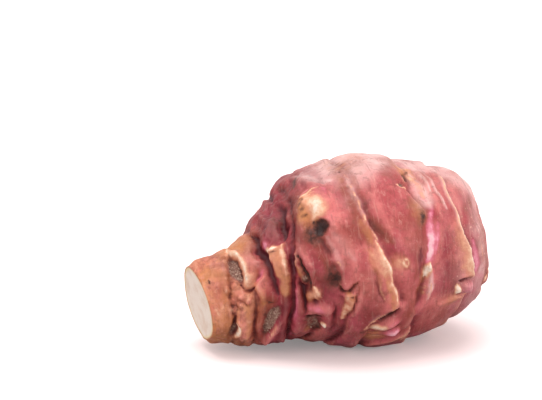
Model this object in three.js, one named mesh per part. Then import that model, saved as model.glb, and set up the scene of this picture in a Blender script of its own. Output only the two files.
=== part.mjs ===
// A Jerusalem artichoke, lying on its side: the swollen end of an underground stem. It grew as one
// piece, so it is one solid. A narrow neck, cut off square, widens into a fat blunt body. Oblique
// scars ring it where scale leaves were attached, and each scar is a low step with a lip on the
// neck side and a groove on the tip side. Buds sit on the scars, and small hollows pit the neck.
//
// Frame, in millimetres: +Z up, the body rests on Z = 0, +X runs along the tuber from the cut neck
// to the tip, and the origin is the middle of the underside of its bounding box.
//
// A place on the skin is [angle, along]. The angle goes round in degrees: 0 is the top, 90 the
// front (-Y), 180 the underside and 270 the back. Along is the share of the way from the cut (0)
// to the tip (100) in percent, and one percent is close to one millimetre.

import * as THREE from "three";

// ---------------------------------------------------------------- driving dimensions

// Cross-sections, evenly spread along: [x, middle y, middle z, half width, half height].
const SECTIONS = [
  [0.9, -0.6, 14.3, 9.8, 10.2],
  [7, 0, 15, 11.8, 11.8],
  [14, 0.4, 16.6, 14.2, 13.8],
  [21, 0.8, 20.8, 18.0, 18.3],
  [28, 0.8, 24.6, 22.0, 22.2],
  [36, 0.5, 25.8, 25.2, 24.8],
  [44, 0.2, 26.3, 27.0, 27.2],
  [52, 0, 26.1, 27.0, 27.1],
  [60, 0, 25.6, 25.8, 25.2],
  [68, 0, 26.5, 23.3, 23.0],
  [75, 0, 27.2, 19.6, 20.1],
  [80, 0, 26.5, 15.0, 15.5],
  [83.2, 0, 26.1, 8.4, 9.0],
  [84.4, 0, 26.1, 0, 0],
];
const MIDDLE_X = 41.5; // from the cut's middle to the origin
const CUT_LEAN = { y: 0.16, z: 0.19 }; // how far the cut leans off square, per millimetre off its middle
const CUT_BLEND = 18; // along, where the lean has died out

// Scars, from neck to tip: the drop across the step, the lip on its high side and the groove on
// its low side, in millimetres, then the places the line runs through as [angle, along, strength].
// A drop above zero leaves the tip side lower, and one below zero the neck side.
const SCARS = [
  {
    drop: 0.5, lip: 0.4, groove: 0.4,
    line: [[0, 11.5, 0.6], [20, 11, 0.9], [60, 8.8, 1], [95, 7.3, 0.8], [115, 7.6, 1], [150, 8.5, 0.6],
      [180, 9.5, 0.6], [220, 10.5, 1], [260, 9.2, 0.7], [300, 11, 1], [335, 12, 0.8]],
  },
  {
    drop: 0.4, lip: 0.4, groove: 0.6,
    line: [[0, 17.2, 0.6], [20, 17.6, 0.7], [52, 17.2, 1], [75, 15.4, 0.9], [92, 14.6, 0.8], [115, 14.9, 0.9],
      [150, 16.4, 0.8], [180, 17.2, 0.7], [220, 17.6, 0.7], [260, 16.3, 1], [300, 17, 0.8], [335, 17.6, 1]],
  },
  {
    drop: 0.7, lip: 0.5, groove: 0.6,
    line: [[0, 22.4, 0.4], [26, 22.8, 0.6], [64, 23.8, 1], [88, 24.6, 1], [105, 25.6, 1], [126, 27, 0.8],
      [150, 26.6, 0.7], [180, 25.2, 0.9], [220, 23.6, 1], [260, 24.6, 0.8], [300, 23.4, 1], [335, 22.4, 0.8]],
  },
  {
    drop: -0.4, lip: 0.4, groove: 0.8,
    line: [[0, 28.2, 0.3], [30, 28, 0.4], [60, 28.6, 0.8], [78, 29.6, 1], [98, 32.4, 1], [116, 34.4, 0.7],
      [140, 33.6, 0.8], [180, 31, 1], [220, 29.6, 0.7], [260, 30.8, 1], [300, 29.6, 0.8], [335, 28.2, 0.7]],
  },
  {
    drop: -0.9, lip: 0.4, groove: 0.6,
    line: [[0, 33.4, 0.2], [30, 33.4, 0.4], [54, 34.6, 0.9], [68, 35.6, 1], [83, 37.6, 1], [98, 39.4, 0.8],
      [116, 40.6, 0.5], [150, 39.4, 0.8], [180, 38.2, 1], [220, 36.8, 0.8], [260, 38.2, 1], [300, 36.8, 0.6],
      [335, 34.6, 0.4]],
  },
  {
    drop: 1.1, lip: 0.6, groove: 0.4,
    line: [[0, 42, 0.5], [27, 42.8, 0.7], [46, 44, 0.9], [62, 45.7, 1], [72, 47.1, 1], [84, 49.6, 1],
      [96, 51.7, 1], [105, 52.8, 1], [114, 51, 1], [126, 47.6, 0.8], [145, 46.2, 0.7], [180, 47.4, 0.7],
      [220, 49, 0.7], [260, 50, 1], [300, 46.6, 0.9], [335, 43, 0.6]],
  },
  {
    drop: 1.1, lip: 0.5, groove: 0.6,
    line: [[0, 57.6, 0.8], [24, 57.4, 1], [38, 58.7, 1], [56, 60.8, 1], [70, 60.8, 0.9], [80, 60.2, 0.9],
      [92, 58.8, 0.9], [108, 57.8, 0.6], [124, 57.8, 0.6], [145, 59, 0.7], [180, 61, 0.8], [220, 62, 0.9],
      [260, 60.4, 0.8], [300, 58.8, 1], [335, 58.2, 0.7]],
  },
  {
    drop: 0.9, lip: 0.6, groove: 0.5,
    line: [[0, 68.4, 0.6], [30, 68.9, 0.8], [46, 70.8, 0.9], [62, 72.3, 1], [77, 73.8, 1], [92, 75.2, 1],
      [106, 76.2, 0.9], [124, 74.6, 0.8], [150, 72.4, 0.7], [180, 72, 0.9], [220, 73, 1], [260, 71.4, 0.8],
      [300, 70, 1], [335, 69, 0.7]],
  },
  {
    drop: 0.5, lip: 0.4, groove: 0.4,
    line: [[0, 84.6, 0.8], [46, 84.8, 1], [80, 84.6, 1], [110, 83.6, 0.8], [150, 84.6, 0.9], [200, 85.4, 1],
      [250, 84, 0.8], [300, 85.6, 1], [335, 85, 0.9]],
  },
];
const STEP_HALF = 0.5; // half the width of a step
const STEP_RAMP = 5; // how far the skin takes to come back to its level on either side
const LIP = { back: 0.9, width: 1.4 };
const GROOVE = { ahead: 0.9, width: 1.1 };

// Buds and hollows: [angle, along, half length, half width, height, turn]. A hollow's height is
// below zero, and the turn, in degrees, leans its length off the tuber's own.
const BUDS = [
  [37, 32.2, 6.2, 5.0, 2.6, 20], // the fat shoulder bud
  [14, 32.4, 4.0, 5.0, 1.3, 0],
  [110, 32.0, 3.6, 3.8, 1.3, 0],
  [123, 50.2, 4.6, 2.6, 2.0, -12],
  [124, 54.2, 3.6, 2.2, 1.6, -8],
  [109, 73.4, 3.2, 2.2, 1.8, 0],
  [68, 21.0, 3.0, 8.5, 1.5, 10], // the stub of a scale leaf, lying round the neck
  [63, 13.6, 2.8, 4.6, 0.8, 0],
  [22, 60.6, 3.0, 3.0, 1.0, 0],
  [212, 37.6, 3.8, 3.4, 1.8, 10],
  [292, 48.6, 5.0, 4.0, 2.4, -14],
  [226, 63.4, 4.0, 3.2, 1.9, 8],
  [268, 73.4, 3.2, 2.6, 1.6, 0],
  [318, 71.6, 3.0, 2.8, 1.2, 0],
  [252, 27.4, 3.4, 3.0, 1.5, 0],
  [20, 87.6, 2.2, 2.2, 0.9, 0],
  [215, 88.4, 2.4, 2.2, 1.0, 0],
];
const HOLLOWS = [
  [45, 12.2, 2.2, 3.6, -1.3, 18],
  [115, 8.2, 2.0, 3.2, -1.2, 10],
  [116, 20.6, 3.0, 3.6, -1.4, -20],
  [127, 32.8, 2.8, 2.6, -1.3, 10],
  [86, 29.4, 1.8, 4.6, -0.9, 24],
  [99, 39.4, 1.6, 2.6, -0.9, 0],
  [116, 49.2, 3.4, 1.7, -1.1, 30],
  [24, 59.2, 1.6, 1.6, -0.9, 0],
  [300, 16.2, 2.2, 3.2, -1.2, -10],
  [205, 21.2, 2.4, 3.4, -1.2, 14],
  [240, 34.6, 2.0, 3.0, -1.0, 0],
];
const LUMPS = [
  { height: 0.5, round: 2, per_along: 0.1, phase: 0.6 },
  { height: 0.35, round: 3, per_along: -0.14, phase: 2.1 },
  { height: 0.25, round: 5, per_along: 0.19, phase: 4.0 },
];

// The mesh: columns round the tuber, rows that run beside each scar at these distances from its
// line, and the width of the plain skin between them that one more row serves.
const COLUMNS = 80;
const SCAR_ROWS = [-1.6, -STEP_HALF, STEP_HALF, 1.6];
const PLAIN_ROW = 2.6;

// ---------------------------------------------------------------- curves through the lists

// A smooth curve (Catmull-Rom) through four numbers, at t from 0 to 1 between the middle two.
function smooth(a, b, c, d, t) {
  return 0.5 * (2 * b + (c - a) * t + (2 * a - 5 * b + 4 * c - d) * t * t + (3 * b - a - 3 * c + d) * t ** 3);
}

// The cross-section at a place along, between the listed ones.
function sectionAt(along) {
  const last = SECTIONS.length - 1;
  const place = THREE.MathUtils.clamp(along / 100, 0, 1) * last;
  const i = Math.min(Math.floor(place), last - 1);
  const [b, c] = [SECTIONS[i], SECTIONS[i + 1]];
  const a = i > 0 ? SECTIONS[i - 1] : b.map((v, k) => 2 * v - c[k]);
  const d = i < last - 1 ? SECTIONS[i + 2] : c.map((v, k) => 2 * v - b[k]);
  return b.map((v, k) => smooth(a[k], v, c[k], d[k], place - i));
}

// Where a scar's line is at an angle: [along, strength]. The line closes on itself after 360.
function scarAt(line, angle) {
  const n = line.length;
  const entry = (k) => {
    const [at, along, strength] = line[((k % n) + n) % n];
    return [at + 360 * Math.floor(k / n), along, strength];
  };
  let i = n - 1;
  while (line[i][0] > angle) i--;
  const [a, b, c, d] = [entry(i - 1), entry(i), entry(i + 1), entry(i + 2)];
  const t = (angle - b[0]) / (c[0] - b[0]);
  return [1, 2].map((k) => smooth(a[k], b[k], c[k], d[k], t));
}

// ---------------------------------------------------------------- the tuber's form

// The plain form: the skin with no scars, buds or hollows.
function plainSkin(along, angle) {
  const [x, y, z, halfWidth, halfHeight] = sectionAt(along);
  const turn = THREE.MathUtils.degToRad(angle);
  const across = -Math.max(halfWidth, 0) * Math.sin(turn);
  const up = Math.max(halfHeight, 0) * Math.cos(turn);
  const lean = Math.max(1 - along / CUT_BLEND, 0);
  return new THREE.Vector3(x - lean * (CUT_LEAN.y * across + CUT_LEAN.z * up), y + across, z + up);
}

// The way out of the plain form at a place.
function outwards(along, angle) {
  const step = 0.5;
  const back = Math.min(along, 99) - step;
  const alongWay = plainSkin(back + 2 * step, angle).sub(plainSkin(back, angle));
  const roundWay = plainSkin(back + step, angle + step).sub(plainSkin(back + step, angle - step));
  return roundWay.cross(alongWay).normalize();
}

const bell = (distance, width) => Math.exp(-((distance / width) ** 2));

// A scar's share of the relief, at a distance past its line.
function scarRelief(scar, strength, past) {
  const step = -0.5 * Math.tanh((2 * past) / STEP_HALF) * Math.exp(-Math.abs(past) / STEP_RAMP);
  const down = past * Math.sign(scar.drop); // the distance past the line, towards its low side
  const lip = scar.lip * bell(down + LIP.back, LIP.width);
  const groove = scar.groove * bell(down - GROOVE.ahead, GROOVE.width);
  return strength * (scar.drop * step + lip - groove);
}

// A bud's or hollow's share of the relief: a smooth mound with an oval edge.
function moundRelief([atAngle, atAlong, halfLength, halfWidth, height, turn], along, angle) {
  const [, , , width, tall] = sectionAt(atAlong);
  const round = ((((angle - atAngle) % 360) + 540) % 360) - 180;
  const across = THREE.MathUtils.degToRad(round) * 0.5 * (width + tall);
  const lean = THREE.MathUtils.degToRad(turn);
  const length = (along - atAlong) * Math.cos(lean) + across * Math.sin(lean);
  const breadth = across * Math.cos(lean) - (along - atAlong) * Math.sin(lean);
  const out = (length / halfLength) ** 2 + (breadth / halfWidth) ** 2;
  return out < 1 ? height * (1 - out) ** 2 : 0;
}

function relief(along, angle) {
  const turn = THREE.MathUtils.degToRad(angle);
  let height = 0;
  for (const lump of LUMPS)
    height += lump.height * Math.sin(lump.round * turn + lump.per_along * along + lump.phase);
  for (const scar of SCARS) {
    const [line, strength] = scarAt(scar.line, angle);
    height += scarRelief(scar, strength, along - line);
  }
  for (const mound of [...BUDS, ...HOLLOWS]) height += moundRelief(mound, along, angle);
  const nearCut = THREE.MathUtils.smoothstep(along, 0, 3);
  const nearTip = THREE.MathUtils.smoothstep(100 - along, 0, 10);
  return height * nearCut * nearTip;
}

function skin(along, angle) {
  const place = plainSkin(along, angle).addScaledVector(outwards(along, angle), relief(along, angle));
  place.z = Math.max(place.z, 0); // the body rests on a small flat, where it has been pressed
  place.x -= MIDDLE_X;
  return place;
}

// ---------------------------------------------------------------- mesh

// How many rows each stretch of plain skin between two scars is divided into.
const plainRows = [...SCARS, null].map((_, i) => {
  const start = i > 0 ? scarAt(SCARS[i - 1].line, 0)[0] : 0;
  const end = i < SCARS.length ? scarAt(SCARS[i].line, 0)[0] : 100;
  return Math.max(Math.round((end - start) / PLAIN_ROW) - 1, 1);
});

// The places along of the mesh's rows, at an angle: they follow the scars.
function rowsAt(angle) {
  const rows = [];
  let start = 0;
  plainRows.forEach((count, i) => {
    const line = i < SCARS.length ? scarAt(SCARS[i].line, angle)[0] : null;
    const end = line === null ? 100 : line + SCAR_ROWS[0];
    for (let k = 0; k < count; k++) rows.push(THREE.MathUtils.lerp(start, end, k / count));
    if (line === null) return;
    for (const beside of SCAR_ROWS.slice(0, -1)) rows.push(line + beside);
    start = line + SCAR_ROWS.at(-1);
  });
  rows.push(100);
  return rows;
}

function tuberGeometry() {
  const rowCount = rowsAt(0).length;
  // A lathed tube closed on its axis at both ends gives the faces. Its points then go to their
  // places: row 0 is the middle of the cut, row 1 its rim, and the last row the tip.
  const profile = Array.from({ length: rowCount + 1 }, (_, row) =>
    new THREE.Vector2(row === 0 || row === rowCount ? 0 : 1, row));
  const geometry = new THREE.LatheGeometry(profile, COLUMNS);
  const position = geometry.getAttribute("position");
  const cutMiddle = plainSkin(0, 0).add(plainSkin(0, 180)).multiplyScalar(0.5);
  cutMiddle.x -= MIDDLE_X;
  for (let column = 0; column <= COLUMNS; column++) {
    const angle = (360 * (column % COLUMNS)) / COLUMNS;
    const rows = rowsAt(angle);
    for (let row = 0; row <= rowCount; row++) {
      const place = row === 0 ? cutMiddle : skin(rows[row - 1], angle);
      position.setXYZ(column * (rowCount + 1) + row, place.x, place.y, place.z);
    }
  }
  geometry.deleteAttribute("uv");
  geometry.computeVertexNormals();
  return geometry;
}

// ---------------------------------------------------------------- the part

const skinMaterial = new THREE.MeshStandardMaterial({
  color: new THREE.Color().setRGB(0.76, 0.44, 0.42, THREE.SRGBColorSpace),
  roughness: 0.55,
  metalness: 0,
});

const tuber = new THREE.Mesh(tuberGeometry(), skinMaterial);
tuber.name = "tuber";

const part = new THREE.Group();
part.add(tuber);

export default part;
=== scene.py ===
"""A Jerusalem artichoke on a pale surface. Lengths are in millimetres until a mesh is made."""

import math

import bpy
import numpy as np
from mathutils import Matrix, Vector


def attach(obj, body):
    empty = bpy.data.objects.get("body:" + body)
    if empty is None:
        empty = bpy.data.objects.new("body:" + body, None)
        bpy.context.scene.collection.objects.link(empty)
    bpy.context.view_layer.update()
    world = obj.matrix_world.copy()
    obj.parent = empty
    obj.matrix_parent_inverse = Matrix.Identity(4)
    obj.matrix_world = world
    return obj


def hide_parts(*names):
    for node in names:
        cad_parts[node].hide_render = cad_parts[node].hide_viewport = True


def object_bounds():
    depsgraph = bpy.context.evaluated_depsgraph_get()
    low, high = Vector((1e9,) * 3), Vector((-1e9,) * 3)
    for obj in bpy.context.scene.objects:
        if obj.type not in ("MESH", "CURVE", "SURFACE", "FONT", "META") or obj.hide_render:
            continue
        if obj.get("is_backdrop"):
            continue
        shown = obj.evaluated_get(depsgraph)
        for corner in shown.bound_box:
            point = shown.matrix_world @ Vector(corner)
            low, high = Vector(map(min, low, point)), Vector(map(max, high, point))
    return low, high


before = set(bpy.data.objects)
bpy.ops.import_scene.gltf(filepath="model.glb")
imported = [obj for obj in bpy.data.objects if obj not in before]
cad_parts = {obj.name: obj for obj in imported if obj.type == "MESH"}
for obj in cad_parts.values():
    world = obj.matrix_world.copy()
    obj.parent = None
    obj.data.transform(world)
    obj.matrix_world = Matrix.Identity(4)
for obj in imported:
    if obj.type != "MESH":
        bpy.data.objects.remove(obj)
cad_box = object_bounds()
MM = 0.001

# ================================================================ the tuber: its plain form
# The tuber is the swollen end of an underground stem. It grew as one piece, so it is one closed
# skin: a narrow neck cut off nearly square, a shoulder, a fat body and a blunt tip. It lies on its side.
#
# A place on the skin is (angle, along). The angle goes round in degrees: 0 is the top, 90 the
# front, 180 the underside and 270 the back. Along goes from the cut, 0, to the tip, 100, and one
# step of it is close to one millimetre.

# Cross-sections, evenly spread along: x, middle y, middle z, half width, half height.
SECTIONS = np.array([
    (0.9, -0.6, 14.3, 9.8, 10.2),
    (7, 0, 15, 11.8, 11.8),
    (14, 0.4, 16.6, 14.2, 13.8),
    (21, 0.8, 20.8, 18, 18.3),
    (28, 0.8, 24.6, 22, 22.2),
    (36, 0.5, 25.8, 25.2, 24.8),
    (44, 0.2, 26.3, 27, 27.2),
    (52, 0, 26.1, 27, 27.1),
    (60, 0, 25.6, 25.8, 25.2),
    (68, 0, 26.5, 23.3, 23),
    (75, 0, 27.2, 19.6, 20.1),
    (80, 0, 26.5, 15, 15.5),
    (83.2, 0, 26.1, 8.4, 9),
    (84.4, 0, 26.1, 0, 0),
])
MIDDLE_X = 41.5
CUT_LEAN_Y, CUT_LEAN_Z = 0.16, 0.19
CUT_BLEND = 18

COLUMNS = 420
ROWS = 224
CUT_RINGS = 8


def smooth(a, b, c, d, t):
    """A Catmull-Rom curve from b to c as t goes from 0 to 1."""
    return 0.5 * (2 * b + (c - a) * t + (2 * a - 5 * b + 4 * c - d) * t**2 + (3 * b - a - 3 * c + d) * t**3)


def section_at(along):
    """The plain form's section at each place along: x, middle y and z, half width, half height."""
    last = len(SECTIONS) - 1
    place = np.clip(along / 100, 0, 1) * last
    i = np.minimum(place.astype(int), last - 1)
    first = 2 * SECTIONS[0] - SECTIONS[1]
    end = 2 * SECTIONS[-1] - SECTIONS[-2]
    rows = np.vstack([first, SECTIONS, end])
    return smooth(rows[i], rows[i + 1], rows[i + 2], rows[i + 3], (place - i)[:, None])


def plain_skin(along, angle):
    """Points on the plain form. The cut leans a little, and so does the neck close behind it."""
    x, y, z, half_width, half_height = section_at(along).T
    turn = np.radians(angle)
    across = -np.maximum(half_width, 0) * np.sin(turn)
    up = np.maximum(half_height, 0) * np.cos(turn)
    lean = np.maximum(1 - along / CUT_BLEND, 0)
    return np.stack([x - lean * (CUT_LEAN_Y * across + CUT_LEAN_Z * up), y + across, z + up], 1)


def outwards(along, angle, step=0.5):
    """The direction straight out of the plain form at each place, as a length of 1."""
    # The form closes at 100, so the points after this one take their direction from it.
    last_open = 99
    middle = np.minimum(along, last_open)
    along_way = plain_skin(middle + step, angle) - plain_skin(middle - step, angle)
    round_way = plain_skin(middle, angle + step) - plain_skin(middle, angle - step)
    out = np.cross(round_way, along_way)
    return out / np.linalg.norm(out, axis=1, keepdims=True)


row_alongs = np.linspace(0, 100, ROWS + 1)
column_angles = np.arange(COLUMNS) * 360 / COLUMNS
along, angle = (grid.ravel() for grid in np.meshgrid(row_alongs[:-1], column_angles, indexing="ij"))
plain = plain_skin(along, angle)
radius = section_at(along)[:, 3:].mean(1)


# Random lumps stand on a grid that repeats after so many cells, shifted so that its corner is
# nowhere on the tuber, and are scaled up to reach from about -1 to 1.
GRAIN_CELLS = 256
GRAIN_SHIFT = 50
GRAIN_REACH = 1.2


def grain(size, seed):
    """Smooth random lumps of about that size over the plain skin, from -1 to 1."""
    chance = np.random.default_rng(seed)
    order = chance.permutation(GRAIN_CELLS)
    slopes = chance.normal(size=(GRAIN_CELLS, 3))
    slopes /= np.linalg.norm(slopes, axis=1, keepdims=True)
    place = plain / size + GRAIN_SHIFT
    cell = np.floor(place).astype(int)
    inside = place - cell
    fade = inside**3 * (inside * (inside * 6 - 15) + 10)
    lumps = np.zeros(len(place))
    for corner in np.ndindex(2, 2, 2):
        i, j, k = ((cell + corner) % GRAIN_CELLS).T
        slope = slopes[order[(order[(order[i] + j) % GRAIN_CELLS] + k) % GRAIN_CELLS]]
        share = np.prod(np.where(corner, fade, 1 - fade), axis=1)
        lumps += share * np.sum(slope * (inside - corner), axis=1)
    return GRAIN_REACH * lumps


coarse = grain(9, 1)
middling = grain(4, 2)
fine = grain(1.7, 3)

# Every mark is placed on slightly bent lines, so that none has a ruled outline.
bent_along = along + 0.9 * grain(5, 11) + 0.4 * grain(2, 12) + 0.15 * grain(0.9, 13)
sideways = 0.9 * grain(5, 14) + 0.4 * grain(2, 15) + 0.15 * grain(0.9, 16)
bent_angle = angle + np.degrees(sideways / radius)

# The skin's height over the plain form, and how strong each tint is, at every point.
height = np.zeros(len(along))
TINTS = ("dust_and_highlight", "pink", "crimson", "rust", "maroon", "fresh", "ochre", "cork", "stain", "soil")
tints = {name: np.zeros(len(along)) for name in TINTS}


def tint(name, amount):
    """Adds to a tint, from 0, no more of it, to 1, as much as there can be."""
    tints[name] = 1 - (1 - tints[name]) * (1 - np.clip(amount, 0, 1))


def wipe(name, amount):
    """Takes that share of a tint away."""
    tints[name] = tints[name] * (1 - np.clip(amount, 0, 1))


def bell(distance, width):
    """1 at no distance, falling off over width on both sides."""
    return np.exp(-((distance / width) ** 2))


def ease(value, low, high):
    """0 up to low, 1 from high on, and a smooth rise between them."""
    t = np.clip((value - low) / (high - low), 0, 1)
    return t * t * (3 - 2 * t)


def patchy(size, seed, low, high):
    """0 and 1 in random patches of about that size; low and high set how soft and how many."""
    return ease(grain(size, seed), low, high)


# ---------------------------------------------------------------- slow lumps of the whole body
# Each wave: its height, how often it goes round, its turn for each step along, where it starts.
LUMPS = ((0.5, 2, 0.1, 0.6), (0.35, 3, -0.14, 2.1), (0.25, 5, 0.19, 4))
for size, rounds, per_along, phase in LUMPS:
    height += size * np.sin(rounds * np.radians(angle) + per_along * along + phase)
height += 0.7 * coarse * ease(along, 12, 30) + 0.16 * middling
creased = ease(along, 4, 14) * (1 - ease(along, 34, 46))
height += creased * (0.4 * middling + 0.2 * fine) + 0.04 * fine

# Pale on top, partly dusty skin and partly a painted highlight, and paler towards the tip, partly
# painted light from that end; patches of rust, pink and crimson; crimson all round the waist, partly
# its own colour and partly painted shade; and maroon painted shadow on the waist's upper side.
from_top = np.abs((angle + 180) % 360 - 180)
tint("dust_and_highlight", 0.85 * (1 - ease(from_top + 24 * coarse + 12 * middling, -5, 46)) * ease(along, 30, 42))
tint("dust_and_highlight", 0.45 * ease(along + 8 * coarse + 5 * middling, 66, 86))
tint("rust", 0.5 * ease(grain(11, 21) + 0.4 * middling, 0.05, 0.4))
tint("pink", 0.5 * ease(grain(10, 22) + 0.4 * middling, 0.05, 0.45) * (1 - ease(from_top, 80, 120)))
tint("crimson", 0.5 * ease(grain(12, 23) + 0.3 * middling, 0.05, 0.4))
in_waist = ease(bent_along + 2 * coarse, 14, 20) * (1 - ease(bent_along + 3 * coarse, 33, 40))
tint("crimson", 0.75 * in_waist)
tint("maroon", 0.4 * in_waist * (1 - ease(from_top, 20, 50)))

# ================================================================ the tuber: its leaf scars
# Each scar is where a thin scale leaf went round the stem underground: a low step with a lip on
# its high side, ragged corky tissue on the lip, and fresh pink skin at the foot of the step.

STEP_HALF = 0.5
STEP_RAMP = 5
LIP_BACK, LIP_WIDTH = 0.9, 1.4
GROOVE_AHEAD, GROOVE_WIDTH = 0.9, 1.1
# The lines wander from side to side at the back, and most of all at the tip.
WANDER_BEHIND, WANDER_AT_TIP = 2.4, 3
WEAKER_BEHIND = 0.45

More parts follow.
